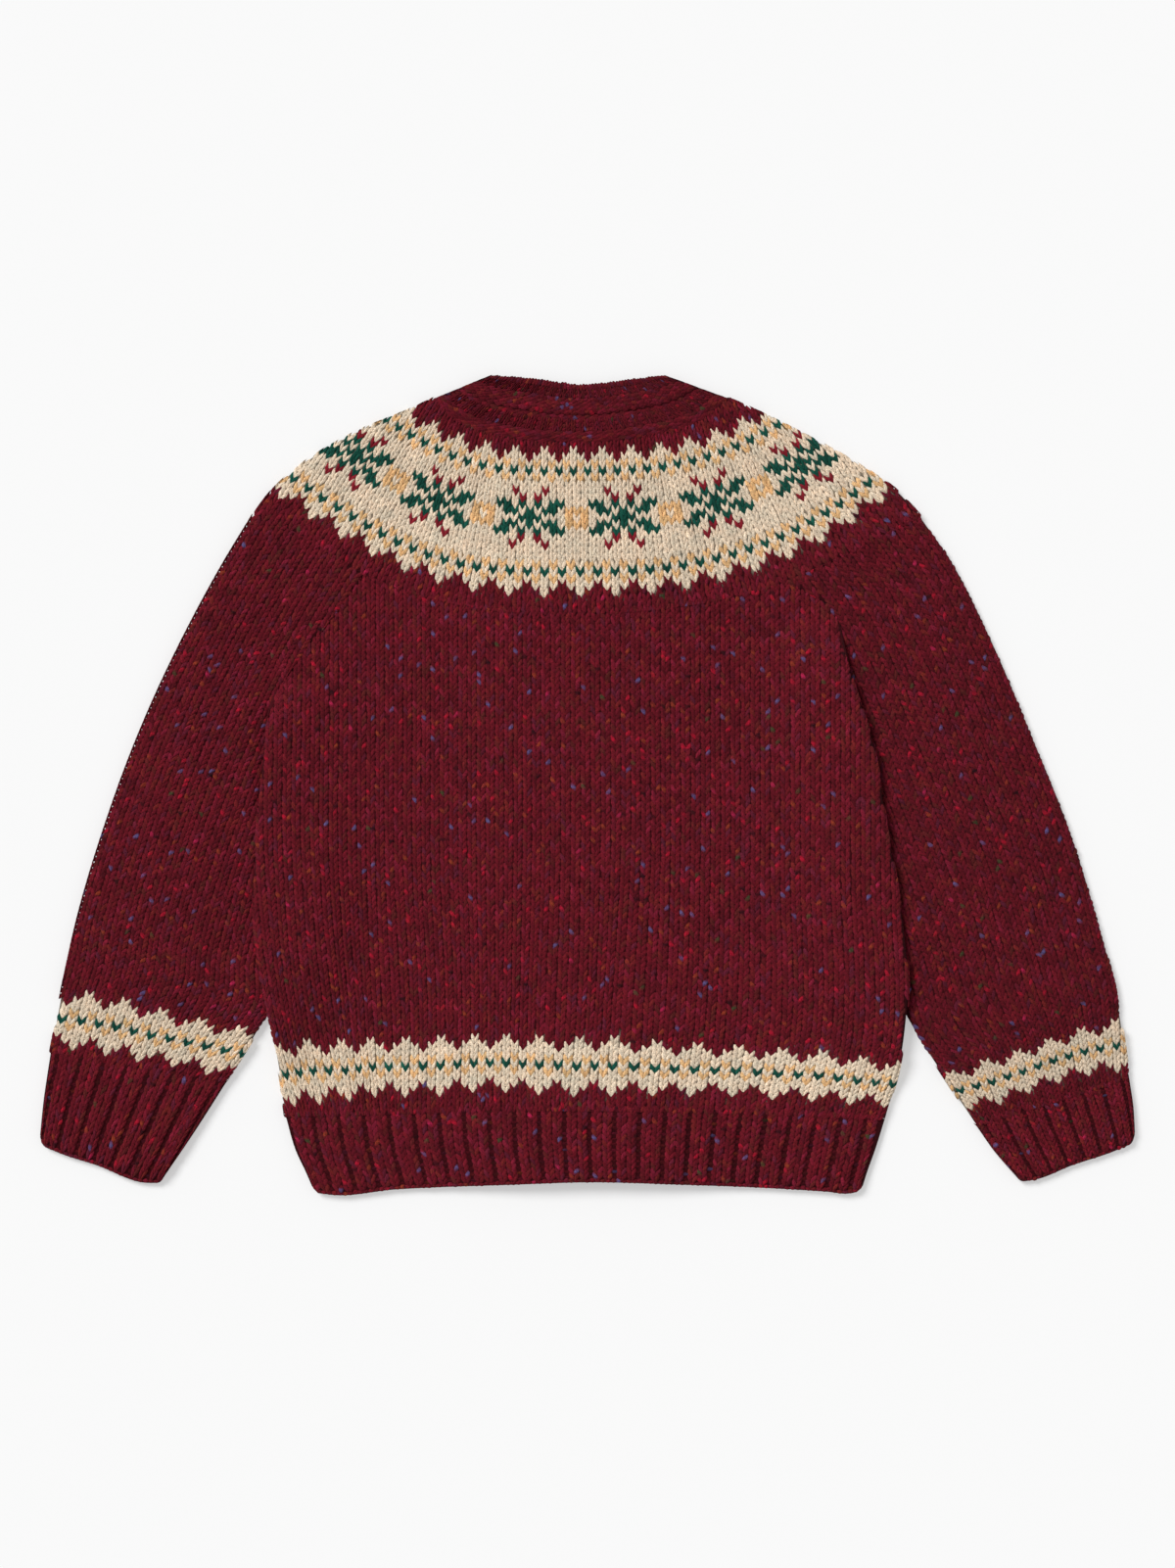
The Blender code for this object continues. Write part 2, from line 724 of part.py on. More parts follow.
def build_sleeve(side):
    """One folded wall, open along its inner edge and along the raglan, where it meets the body."""
    seam, inner_edge, outer_edge, fraction = sleeve_edges(side)
    width = np.linalg.norm(inner_edge - outer_edge, axis=1)
    fold_in, fold_up = fold_steps(FOLD_REACH)
    lining_in, _ = fold_steps(LINING_REACH)
    rows = len(width)

    def layer(near_fold):
        """Plan points of one layer, from the fold to the inner edge."""
        end_steps = np.array(SLEEVE_EDGE_STEPS)
        plan = []
        for r in range(rows):
            start, end = near_fold / width[r], 1 - end_steps / width[r]
            s = np.concatenate([start, np.linspace(start[-1], end[0], SLEEVE_STEPS + 1)[1:-1], end])
            straight = outer_edge[r] * (1 - s[:, None]) + inner_edge[r] * s[:, None]
            chord = outer_edge[0] * (1 - s[:, None]) + inner_edge[0] * s[:, None]
            bend = along(seam, s) - chord
            plan.append(straight + bend * (1 - fraction[r]) ** 4)
        return np.array(plan)

    outer_plan = layer(fold_in)
    inner_plan = layer(WALL + lining_in)
    columns = outer_plan.shape[1]
    up_share = np.ones(columns)
    up_share[:len(fold_up)] = fold_up

    from_fold = np.linalg.norm(outer_plan - outer_plan[:, :1], axis=-1)
    from_inner = np.linalg.norm(outer_plan - outer_plan[:, -1:], axis=-1)
    along_sleeve = fraction[:, None] * length_of(OUTER[side])
    rest = length_of(OUTER[side]) - along_sleeve
    puff = (SLEEVE_PUFF * smooth((from_inner - 31.0) / 30.0) * smooth(from_fold / 34.0)
            * smooth(along_sleeve / 60.0) * smooth(rest / 60.0))
    below = fraction[:, None] - fraction[RAGLAN_ROWS - 1]
    closed_edge = smooth(below * length_of(OUTER[side]) / TUCK_RAMP + 0.2)
    thick = (round_off(from_inner, *CRISP_EDGE) * (1 - closed_edge)
             + round_off(from_inner, *TUBE_EDGE) * closed_edge)
    thick = np.where(np.arange(columns) < len(fold_up), 1.0, thick)
    thick[[0, -1]] *= TUBE_SEAM_SHARE
    middle = FLAT_TUBE / 2
    half = PLY_GAP / 2 + WALL * thick
    high_outer = middle + (half + puff) * up_share
    low_outer = middle - half * up_share
    high_inner = middle + (PLY_GAP / 2 + puff) * up_share
    low_inner = middle - PLY_GAP / 2 * np.broadcast_to(up_share, puff.shape)
    outer = np.concatenate([lift_plan(outer_plan, low_outer)[:, ::-1],
                            lift_plan(outer_plan, high_outer)[:, 1:]], axis=1)
    inner = np.concatenate([lift_plan(inner_plan, low_inner)[:, ::-1],
                            lift_plan(inner_plan, high_inner)[:, 1:]], axis=1)
    make_wall("sleeve_" + side, outer, inner)


# ---------------------------------------------------------------- cuffs
def build_cuff(side):
    """A flat ribbed tube. Its ribs stand on the layer that lies up; the one below is plain."""
    if side == "left":
        outer_side, inner_side, end = map(dense, (CUFF_OUTER_LEFT, CUFF_INNER_LEFT, CUFF_END_LEFT))
    else:
        outer_side, inner_side, end = map(dense, (CUFF_OUTER_RIGHT, CUFF_INNER_RIGHT, CUFF_END_RIGHT))
    top = np.array([outer_side[0], inner_side[0]])
    down = outer_side[-1] - outer_side[0]
    down = down / np.linalg.norm(down)
    top = top + down * SEAM
    outer_side[0] = top[0]
    inner_side[0] = top[1]
    total = length_of(top)

    def layer(near_fold, middle_shares):
        shares = np.concatenate([near_fold / total, middle_shares, 1 - near_fold[::-1] / total])
        return rib_patch(top, end, outer_side, inner_side, shares)

    fold_in, fold_up = fold_steps(FOLD_REACH)
    lining_in, _ = fold_steps(LINING_REACH)
    flat = fold_in[-1] / total
    ribbed = np.linspace(flat, 1 - flat, 3 * CUFF_RIBS + 1)[1:-1]
    plain = np.linspace(flat, 1 - flat, CUFF_UNDER_STEPS + 1)[1:-1]
    first = len(fold_up)

    def ring(near_fold, wall_on, rib_on):
        """One ring of points for each row, over the top and back under it."""
        high = layer(near_fold, ribbed)
        low = layer(near_fold, plain)
        up_high = np.concatenate([fold_up, np.ones(len(ribbed)), fold_up[::-1]])
        up_low = np.concatenate([fold_up, np.ones(len(plain)), fold_up[::-1]])
        half = PLY_GAP / 2 + WALL * wall_on
        wave = np.zeros(high.shape[1])
        wave[first:first + len(ribbed)] = rib_wave(np.arange(len(ribbed)) + 1)
        high_z = FLAT_TUBE / 2 + half * up_high + wave * rib_on
        low_z = FLAT_TUBE / 2 - half * up_low
        return np.concatenate([lift_plan(high, high_z), lift_plan(low, low_z)[:, -2:0:-1]], axis=1)

    outer = ring(fold_in, RIB_PROFILE[:, 2:3], RIB_PROFILE[:, 1:2])
    inner = ring(WALL + lining_in, np.zeros((len(RIB_PROFILE), 1)), 0.0)
    make_wall("cuff_" + side, outer, inner[[0, -1]], closed=True)


# ---------------------------------------------------------------- yoke and neckband
def strip_plan(up_shares, folds, near_fold, parts):
    """Plan of a strip round the shoulders, in three patches of points.

    The left front runs from its band to the left fold, the back from fold to fold and the right
    front from the right fold to its band. parts gives, for each, its lower line, its upper line
    and the shares of the columns between the folds.
    """
    patches = []
    for (lower, upper, shares), left, right in zip(parts, (None, *folds), (*folds, None)):
        line_points, line_shares = [], []
        for line in (lower, upper):
            step = near_fold / length_of(line)
            start = () if left is None else step
            end = () if right is None else 1 - step[::-1]
            line_shares.append(np.concatenate([start, shares, end]))
            line_points.append(along(line, line_shares[-1]))
        low, high = line_points
        sides = [along(np.array([low[k], high[k]]) if side is None else side, up_shares)
                 for k, side in ((0, left), (-1, right))]
        patches.append(patch(low, high, *sides, line_shares[0], up_shares))
    return patches


def build_strip(name, folds, parts, up_shares, inner_shares, relief=None):
    """A wall folded at both shoulders: its back half lies high and its two front halves low."""
    fold_in, fold_up = fold_steps(FOLD_REACH)
    lining_in, _ = fold_steps(LINING_REACH)
    up_shares, inner_shares = np.array(up_shares), np.array(inner_shares)
    thick = round_off(np.minimum(up_shares, 1 - up_shares), 0.04, SEAM_SHARE)[:, None]

    def surface(near_fold, shares_up, outside):
        points = []
        for which, plan in enumerate(strip_plan(shares_up, folds, near_fold, parts)):
            x, y = plan[..., 0], plan[..., 1]
            low, high = low_floor(x, y), high_floor(x, y)
            middle = (low + WALL + high) / 2
            up = np.ones(plan.shape[1])
            if which != 0:
                up[:len(fold_up)] = fold_up
            if which != 2:
                up[-len(fold_up):] = fold_up[::-1]
            wall = WALL * thick if outside else 0.0
            if which == 1:
                z = middle + (high - middle + wall) * up
                if outside and relief:
                    z = z + relief(plan, up)
            else:
                z = middle - (middle - low - WALL + wall) * up
            points.append(lift_plan(plan, z))
        return np.concatenate([points[0][:, :-1], points[1], points[2][:, 1:]], axis=1)

    make_wall(name, surface(fold_in, up_shares, True), surface(WALL + lining_in, inner_shares, False))


def offset(samples, amount):
    """A sampled curve moved sideways, to the left of the way it runs."""
    run = np.gradient(samples, axis=0)
    run = run / np.linalg.norm(run, axis=1)[:, None]
    return samples + amount * np.stack([-run[:, 1], run[:, 0]], axis=-1)


def cut_at(samples, across, keep_left):
    """The part of a curve that runs to the right, up to or from a given across."""
    cut = np.array([[across, up_at(samples, across)]])
    if keep_left:
        return np.vstack([samples[samples[:, 0] < across], cut])
    return np.vstack([cut, samples[samples[:, 0] > across]])


def neck_relief(plan, up):
    """The neckband's outside: a seam ridge, a short rib, a groove and a thick rolled edge."""
    wave = np.where(up > 0.99, rib_wave(np.arange(plan.shape[1]), NECK_RIB_DEPTH), 0.0)
    return (NECK_PROFILE[:, 1:2] + NECK_PROFILE[:, 2:3] * wave) * (up > 0.7)


def build_yoke():
    seam = offset(SEAM_LINE, SEAM)
    folds = (dense(YOKE_FOLD_LEFT), dense(YOKE_FOLD_RIGHT))
    folds[0][0], folds[1][0] = seam[0], seam[-1]
    back_shares = np.linspace(0.0, 1.0, YOKE_STEPS + 1)[1:-1]
    front_shares = np.linspace(0.0, 1.0, YOKE_FRONT_STEPS + 1)
    parts = ((cut_at(seam, -BAND_EDGE, True)[::-1], dense(FRONT_SEAM_LEFT)[::-1], front_shares[:-1]),
             (seam, dense(NECK_SEAM), back_shares),
             (cut_at(seam, BAND_EDGE, False)[::-1], dense(FRONT_SEAM_RIGHT), front_shares[1:]))
    build_strip("yoke", folds, parts, YOKE_ROWS, YOKE_INNER_ROWS)


def build_neckband():
    lower = offset(dense(NECK_SEAM), SEAM)
    upper = dense(NECK_EDGE)
    lower_left = offset(dense(FRONT_SEAM_LEFT), SEAM)
    lower_right = offset(dense(FRONT_SEAM_RIGHT), -SEAM)
    lower_left[0], lower_right[0] = lower[0], lower[-1]
    lower_left[-1, 0], lower_right[-1, 0] = -BAND_EDGE, BAND_EDGE
    folds = (np.array([lower[0], upper[0]]), np.array([lower[-1], upper[-1]]))
    back_shares = np.linspace(0.0, 1.0, 3 * NECK_RIBS + 1)[2:-2]
    front_shares = np.linspace(0.0, 1.0, NECK_FRONT_STEPS + 1)
    parts = ((lower_left[::-1], dense(FRONT_EDGE_LEFT)[::-1], front_shares[:-1]),
             (lower, upper, back_shares),
             (lower_right, dense(FRONT_EDGE_RIGHT), front_shares[1:]))
    build_strip("neckband", folds, parts, NECK_PROFILE[:, 0], (0.0, 1.0), neck_relief)


# ---------------------------------------------------------------- bands and buttons
def build_band(name, floor, rib_depth):
    """A straight strip; its ribs run along it on the outside, which lies below."""
    half = BAND_WIDTH / 2
    x = np.linspace(-half, half, BAND_COLUMNS)
    y = np.array([BAND_BOTTOM, BAND_BOTTOM + BAND_END, 0.0, BAND_TOP - BAND_END, BAND_TOP])
    plan = np.stack(np.meshgrid(x, y), axis=-1)
    wave = -rib_wave(np.arange(BAND_COLUMNS), rib_depth)
    ends = np.array([BAND_END_SHARE, 1, 1, 1, BAND_END_SHARE])[:, None]
    edge = ends * round_off(half - np.abs(x), *BAND_EDGE_ROUND)
    under = lift_plan(plan, floor + WALL * (1 - edge) + wave * (edge > 0.95))
    make_wall(name, under, lift_plan(plan, np.full(plan.shape[:2], floor + WALL))[[0, -1]])


def build_button(index):
    """A turned button with a raised rim, its face down on the table."""
    turn = np.linspace(0.0, 2.0 * math.pi, BUTTON_SIDES, endpoint=False)
    rings = [np.stack([BUTTON_RADIUS * radius * np.cos(turn),
                       BUTTON_FIRST + BUTTON_STEP * index + BUTTON_RADIUS * radius * np.sin(turn),
                       np.full(BUTTON_SIDES, BUTTON_THICK * height)], axis=-1)
             for radius, height in BUTTON_PROFILE]
    faces = grid_faces(0, len(rings), BUTTON_SIDES, True)
    faces.append(tuple(range(BUTTON_SIDES)))
    faces.append(tuple(range((len(rings) - 1) * BUTTON_SIDES, len(rings) * BUTTON_SIDES)))
    make_solid("button_%d" % (index + 1), np.vstack(rings), faces, DARK_HORN, 0.35)


# ---------------------------------------------------------------- the cardigan
for old in list(bpy.data.objects):
    bpy.data.objects.remove(old, do_unlink=True)
CARDIGAN = bpy.data.collections.new("fair_isle_cardigan")
bpy.context.scene.collection.children.link(CARDIGAN)

build_body()
build_hem()
build_sleeve("left")
build_sleeve("right")
build_cuff("left")
build_cuff("right")
build_yoke()
build_neckband()
build_band("buttonhole_band", BUTTON_LIFT, BAND_RIB_DEPTH)
build_band("button_band", BUTTON_LIFT + WALL + PLY_GAP, 0.0)
for number in range(BUTTON_COUNT):
    build_button(number)
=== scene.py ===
"""Looks of a child's fair isle cardigan that lies flat with its back up.

Every knitted piece is a thin closed cloth on its solid's form, coloured as painted shade, the
dark that lies behind the yarn, with its stitches laid on it as yarn: two tapered strands to a knit
stitch and one bar to a purl stitch. A stitch has a wale number, which counts across, and a course
number, which counts up. Each piece has a place function that turns the two into millimetres, and
a face function that gives the height of its cloth there. Lengths are in millimetres until a mesh
is made.
"""
import math

import bmesh
import bpy
import mathutils
import numpy as np
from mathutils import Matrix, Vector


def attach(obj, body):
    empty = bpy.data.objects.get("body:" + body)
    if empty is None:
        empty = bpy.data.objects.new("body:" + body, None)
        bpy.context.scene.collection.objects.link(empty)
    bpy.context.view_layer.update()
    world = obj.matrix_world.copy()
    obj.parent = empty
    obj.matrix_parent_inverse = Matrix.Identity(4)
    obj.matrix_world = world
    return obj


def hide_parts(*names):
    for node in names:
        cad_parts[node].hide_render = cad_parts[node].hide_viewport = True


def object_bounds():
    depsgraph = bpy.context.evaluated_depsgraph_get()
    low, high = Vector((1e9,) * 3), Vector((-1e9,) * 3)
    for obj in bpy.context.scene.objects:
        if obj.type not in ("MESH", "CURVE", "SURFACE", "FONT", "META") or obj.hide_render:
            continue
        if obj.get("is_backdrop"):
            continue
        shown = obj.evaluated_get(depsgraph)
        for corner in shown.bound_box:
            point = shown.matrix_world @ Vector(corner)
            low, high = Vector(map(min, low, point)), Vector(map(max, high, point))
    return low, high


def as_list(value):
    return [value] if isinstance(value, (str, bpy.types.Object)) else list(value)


bl_info = {
    "name": "Fair isle cardigan, laid flat",
    "version": (1, 0, 0),
    "blender": (4, 5, 0),
    "location": "View3D > Sidebar > Cardigan",
    "description": "Knits a child's round-yoke cardigan on its solids, stitch by stitch",
    "category": "Add Mesh",
}

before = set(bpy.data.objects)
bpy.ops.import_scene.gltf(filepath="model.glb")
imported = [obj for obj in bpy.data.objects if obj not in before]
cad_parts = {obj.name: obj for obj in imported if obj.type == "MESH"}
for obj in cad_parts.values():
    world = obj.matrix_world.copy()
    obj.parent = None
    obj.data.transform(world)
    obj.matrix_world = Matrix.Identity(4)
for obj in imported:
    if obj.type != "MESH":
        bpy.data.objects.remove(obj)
CAD_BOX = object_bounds()
MM = 0.001

# ---------------------------------------------------------------- cloth, mm
WALL = 2.8                # knitted cloth
PLY_GAP = 0.6             # air between two layers
SEAM = 0.35               # air between two pieces
FLAT_TUBE = 2 * WALL + PLY_GAP
BAND_WIDTH = 30.0
BAND_EDGE = BAND_WIDTH / 2 + 0.4
BAND_BOTTOM, BAND_TOP = -233.0, 197.0
BAND_RIB, BAND_ROW = 7.5, 3.5           # width of a front band's rib and height of its course
BUTTON_RADIUS, BUTTON_THICK = 7.5, 2.2
BUTTON_LIFT = BUTTON_THICK + 0.35
BUTTON_FIRST, BUTTON_STEP, BUTTON_COUNT = -218.0, 79.0, 6
CROWN = BUTTON_LIFT + WALL + PLY_GAP    # rise of the back over bands and buttons
CROWN_REACH = 92.0
CROWN_FADE = (203.0, 240.0)
TUCK_LIFT = FLAT_TUBE + 0.7             # rise of the body's side over a sleeve
TUCK_FLAT, TUCK_END, TUCK_RAMP = 5.0, 42.0, 31.0
SLEEVE_PUFF = 2.4
FOLD_REACH = 4.5
SLEEVE_CLEAR = 0.45
# Ribs from their seam to their end: share of the way, how far the rib shows, share of the wall
RIB_PROFILE = np.array(((0, 0, 0.97), (0.035, 0, 1), (0.1, 0.15, 1), (0.22, 1, 1), (0.9, 1, 1),
                        (0.965, 0.6, 0.8), (1, 0, 0.35)))
# Neckband from its seam up: share of the way, mm raised, how far the rib shows
NECK_PROFILE = np.array(((0, 0, 0), (0.10, 0.7, 0), (0.22, -0.3, 0.6), (0.38, 0, 1),
                         (0.46, -0.9, 0.4), (0.56, 0.9, 0.2), (0.78, 1.1, 0.4), (1, -0.4, 0.8)))
NECK_RIB_DEPTH, BAND_RIB_DEPTH = 0.8, 0.7
# Turned button from its edge in, on the face that lies down: shares of its radius and height
BUTTON_FACE = ((1.0, 0.35), (0.96, 0.12), (0.90, 0.0), (0.82, 0.0), (0.74, 0.05), (0.66, 0.20),
               (0.55, 0.30))
BUTTON_BACK = ((1.0, 0.6), (0.985, 0.85), (0.94, 1.0))
RIB_DEPTH = 1.3
HEM_RIBS, CUFF_RIBS, NECK_RIBS = 23, 7, 21
RIB_ROWS = np.concatenate([[0.0, 0.012], np.linspace(0.05, 0.95, 16), [0.98, 1.0]])
GROOVE = 0.13             # half width of a rib's groove, in ribs
# How far a rib's two knit columns lie from the groove's middle, how wide they are and how wide the
# bar in the groove is, in ribs; the fine ones are those of neckband and front bands
RIB_ASIDE, RIB_WIDE, RIB_BAR = 0.285, 0.43, 0.26
FINE_ASIDE, FINE_WIDE, FINE_BAR = 0.31, 0.4, 0.3
BAR_SUNK = 0.5            # how deep the bars of hem and cuffs lie, mm
# Shallower ribs where they lie down: share of the depth on the hem, depth on the cuffs; and the
# depth that the cuffs' cloth follows
LOW_RIB, LOW_CUFF, CUFF_CLOTH = 0.45, 0.6, 1.0
# A cast-off chain: how far in from its edge, length of a loop, and at what share of the wall it
# lies on the hem and on the cuffs
CHAIN_IN, CHAIN_LOOP, CHAIN_HEM, CHAIN_CUFF = 1.3, 3.1, 0.62, 0.55
SKIN = 0.85               # how far the cloth lies behind its solid's face, to leave room for yarn
LEAST_CLOTH = 0.15        # the thinnest that it gets
FOLD_START = 0.15         # the cloth behind starts this far in from a fold
LINING_ROUND = 0.6        # how its inside rounds a fold
HIDDEN = 11.0             # sleeve stitches further than this under the body are left out
# Edges: how far in the wall reaches its full thickness, and its share of it at the edge
RAGLAN_EDGE, BODY_EDGE, SLEEVE_EDGE = (2.0, 0.72), (6.0, 0.22), (4.5, 0.25)
BAND_SIDE, BAND_ENDS = (2.0, 0.6), (1.5, 0.5)
# Fullness of a sleeve: where it starts from the inner edge, and how far it takes to grow from
# there, from the outer fold and from both ends
PUFF_START, PUFF_INNER, PUFF_OUTER, PUFF_ENDS = 31.0, 30.0, 34.0, 60.0

# ---------------------------------------------------------------- outlines, mm
# Each row is a point: across, up.
BODY_SIDE_LEFT = ((-176, 66.5), (-182.5, 52.5), (-187.5, 35.5), (-191.5, 1), (-195, -45),
                  (-195.5, -82.5), (-193, -108.5), (-187.5, -133), (-183, -155), (-177.5, -194.5))
BODY_SIDE_RIGHT = ((145, 104), (149.5, 80), (157, 56.5), (167, 25), (176, -28), (182.5, -64.5),
                   (187, -100), (188, -117), (186.5, -140), (182, -170), (175, -196))
HEM_TOP = ((-177.5, -194.5), (0, -190.5), (175, -196))
HEM_SIDE_LEFT = ((-177.5, -194.5), (-171.5, -215), (-165, -229), (-162, -236))
HEM_SIDE_RIGHT = ((175, -196), (169, -215), (164, -229), (162, -235.5))
HEM_END = ((-162, -236), (-159, -239.5), (-153, -240.7), (-112.5, -237.8), (-46, -234.8),
           (0, -233.2), (58, -234.9), (141, -239.2), (154, -240.2), (159, -239), (162, -235.5))
YOKE_SEAM = ((-196.5, 158.5), (-162, 142.5), (-131, 123), (-92, 110), (-49, 102), (-6, 100),
             (37.5, 103), (80.5, 109.5), (118, 119.5), (144, 131), (168.5, 143.5), (195.5, 158))
RAGLAN_TOP_LEFT, RAGLAN_TOP_RIGHT = 2, 8          # points of YOKE_SEAM
YOKE_FOLD_LEFT = ((-196.5, 158.5), (-187.5, 170.5), (-169, 187.5), (-140.5, 205), (-101, 222),
                  (-90.5, 227))
YOKE_FOLD_RIGHT = ((195.5, 158), (184.5, 170.5), (160.5, 187.5), (129, 205), (94.5, 222), (83, 227))
NECK_SEAM = ((-90.5, 227), (-79, 215), (-45, 203.5), (-6, 200.5), (32, 204), (67, 214), (83, 227))
NECK_EDGE = ((-58, 240.5), (-31.5, 238), (-4, 234.5), (21, 237), (46.5, 240.5))
FRONT_SEAM_LEFT = ((-90.5, 227), (-70, 197), (-45, 175), (-BAND_EDGE, 164))
FRONT_SEAM_RIGHT = ((83, 227), (62, 197), (40, 175), (BAND_EDGE, 164))
FRONT_EDGE_LEFT = ((-58, 240.5), (-45, 219), (-30, 205), (-BAND_EDGE, 197))
FRONT_EDGE_RIGHT = ((46.5, 240.5), (37, 219), (26, 205), (BAND_EDGE, 197))
SLEEVE_OUTER_LEFT = ((-196.5, 158.5), (-212, 133), (-237, 87), (-263.5, 29.5), (-284.5, -28),
                     (-297.5, -71), (-307.5, -114), (-315.5, -156.5))
SLEEVE_INNER_LEFT = ((-176, 66.5), (-182.5, 52.5), (-187, 36.5), (-182, 15), (-173, -5),
                     (-167, -33.5), (-165, -62.5), (-169, -91), (-187.5, -133), (-212, -174))
SLEEVE_OUTER_RIGHT = ((195.5, 158), (213, 133), (236.5, 87), (261, 29.5), (284, -28), (297.5, -71),
                      (309, -114), (318.5, -172))
SLEEVE_INNER_RIGHT = ((145, 104), (149.5, 80), (151.5, 58.5), (151.5, 32.5), (153, 1),
                      (156.5, -33.5), (161, -65.5), (168, -94), (187, -135), (209.5, -171.5),
                      (228.5, -200))
CUFF_OUTER_LEFT = ((-315.5, -156.5), (-320, -187), (-322, -207))
CUFF_INNER_LEFT = ((-212, -174), (-232.5, -206), (-248.5, -229.5))
CUFF_END_LEFT = ((-322, -207), (-320, -212), (-314, -215), (-289, -223.5), (-257, -234),
                 (-251.5, -233.5), (-248.5, -229.5))
CUFF_OUTER_RIGHT = ((318.5, -172), (321, -189), (322, -205.5))
CUFF_INNER_RIGHT = ((228.5, -200), (239, -215), (251.5, -229.5))
CUFF_END_RIGHT = ((322, -205.5), (320, -210.5), (314, -213.5), (285.5, -223.5), (260.5, -232.5),
                  (255, -232.8), (251.5, -229.5))
# The sleeve's seam on each cuff, near its inner edge
CUFF_SEAMS = {"left": ((-226, -183), (-237.5, -199), (-247.5, -224.5)),
              "right": ((233, -202), (243.5, -216.5), (254, -228))}

# ---------------------------------------------------------------- gauge, mm
COURSE = 3.45             # height of a plain course
BAND_COURSE = 3.94        # height of a course where two yarns are stranded

# Patterned bands above hem and cuffs: where the wales lie on the line of the peaks and on the
# line of the tips. Every fourth wale has a peak.
HEM_BAND = np.array((
    # wale, peak across, peak up, tip across, tip up
    (-34, -182.0, -152.0, -172.0, -189.0),
    (-30, -165.3, -148.6, -157.2, -188.1),
    (-26, -144.7, -149.4, -139.7, -186.2),
    (-22, -127.9, -148.1, -124.8, -183.7),
    (-18, -106.7, -148.1, -107.4, -183.7),
    (-14, -86.1, -146.9, -86.8, -183.1),
    (-10, -66.2, -146.3, -67.4, -180.6),
    (-6, -47.5, -145.8, -48.1, -180.6),
    (-2, -28.2, -146.9, -28.8, -181.9),
    (2, -4.5, -147.4, -8.2, -183.1),
    (6, 15.6, -146.9, 13.7, -182.7),
    (10, 41.2, -150.1, 38.0, -182.5),
    (14, 64.8, -151.3, 59.8, -183.1),
    (18, 89.1, -152.6, 84.8, -183.1),
    (22, 115.3, -154.4, 108.4, -185.0),
    (26, 139.0, -155.7, 131.6, -186.2),
    (30, 162.7, -159.4, 154.0, -188.1),
    (34, 184.5, -162.0, 174.0, -189.5),
))
LEFT_BAND = np.array((
    (-4, -315.0, -120.0, -326.0, -153.5),
    (0, -292.1, -121.3, -302.9, -156.1),
    (4, -270.5, -125.1, -283.6, -159.3),
    (8, -248.4, -131.4, -264.8, -163.0),
    (12, -226.0, -137.1, -244.2, -165.7),
    (16, -202.4, -141.7, -224.5, -170.3),
    (20, -179.0, -146.0, -204.0, -175.0),
))
RIGHT_BAND = np.array((
    (-24, 193.0, -175.0, 209.0, -195.0),
    (-20, 212.7, -168.0, 226.0, -191.0),
    (-16, 233.3, -161.1, 242.9, -188.2),
    (-12, 252.1, -155.7, 259.9, -181.4),
    (-8, 270.8, -148.5, 277.3, -175.4),
    (-4, 289.7, -142.3, 294.7, -171.2),
    (0, 310.3, -137.3, 311.6, -169.3),
    (4, 331.0, -132.5, 329.0, -167.0),
))
PEAK_COURSE, TIP_COURSE = 4.8, -4.7     # their heights in courses from the band's green course

# Body above its band: the wale that its wales are counted from, where it lies, how wide the wales
# are on its left and right, the mean height of the peaks and the courses over which the bow of
# their line fades out
FIRST_WALE, FIRST_ACROSS, WALE_LEFT, WALE_RIGHT = -2.0, -24.7, 5.4, 5.87
PEAK_LEVEL, BOW_COURSES, BODY_LEVELS = -147.0, 75.0, (35.0, 60.0, 90.0)
# Wales and courses that each piece is searched in
BODY_GRID, SLEEVE_GRID, YOKE_WALES = ((-36, 36), (-9, 92)), ((-36, 40), (-10, 96)), (-70, 70)

# Sleeves above their bands: how far its rows slant down from the outer fold, in degrees
LEFT_ROWS = ((158.5, 29.0), (108.0, 26.0), (76.0, 22.0), (47.0, 19.0), (7.0, 15.5), (-60.0, 13.0))
RIGHT_ROWS = ((158.0, 28.0), (84.0, 27.0), (50.0, 24.0), (-6.0, 21.5), (-48.0, 20.0), (-85.0, 18.0))
# For each side: rows, band, wale number on the outer fold, wale width, course height, sense
SLEEVES = {
    "left": (LEFT_ROWS, LEFT_BAND, -3.0, 5.8, 3.45, -1.0),
    "right": (RIGHT_ROWS, RIGHT_BAND, 0.5, 5.8, 3.55, 1.0),
}

# Yoke: the line of the stars' middles. The courses are lines at even distances from it.
STAR_LINE = ((-199, 235), (-166, 213), (-137.4, 194), (-113, 178.8), (-88.6, 166.8), (-62, 159.2),
             (-34, 156.4), (-8, 156.2), (19, 156.6), (46, 158.8), (73, 164.6), (98, 173),
             (124, 186.5), (150, 205), (182, 228))
# Its patterns: first and last course, wale width, the course it is measured on, across of wale 0
YOKE_BANDS = (
    (-4, 4, 4.24, 0, -25.3),
    (5, 16, 4.60, 10, -33.9),
    (17, 21, 5.25, 21, -25.3),
    (22, 27, 5.50, 24, -25.3),
)
STAR_COURSE = 10

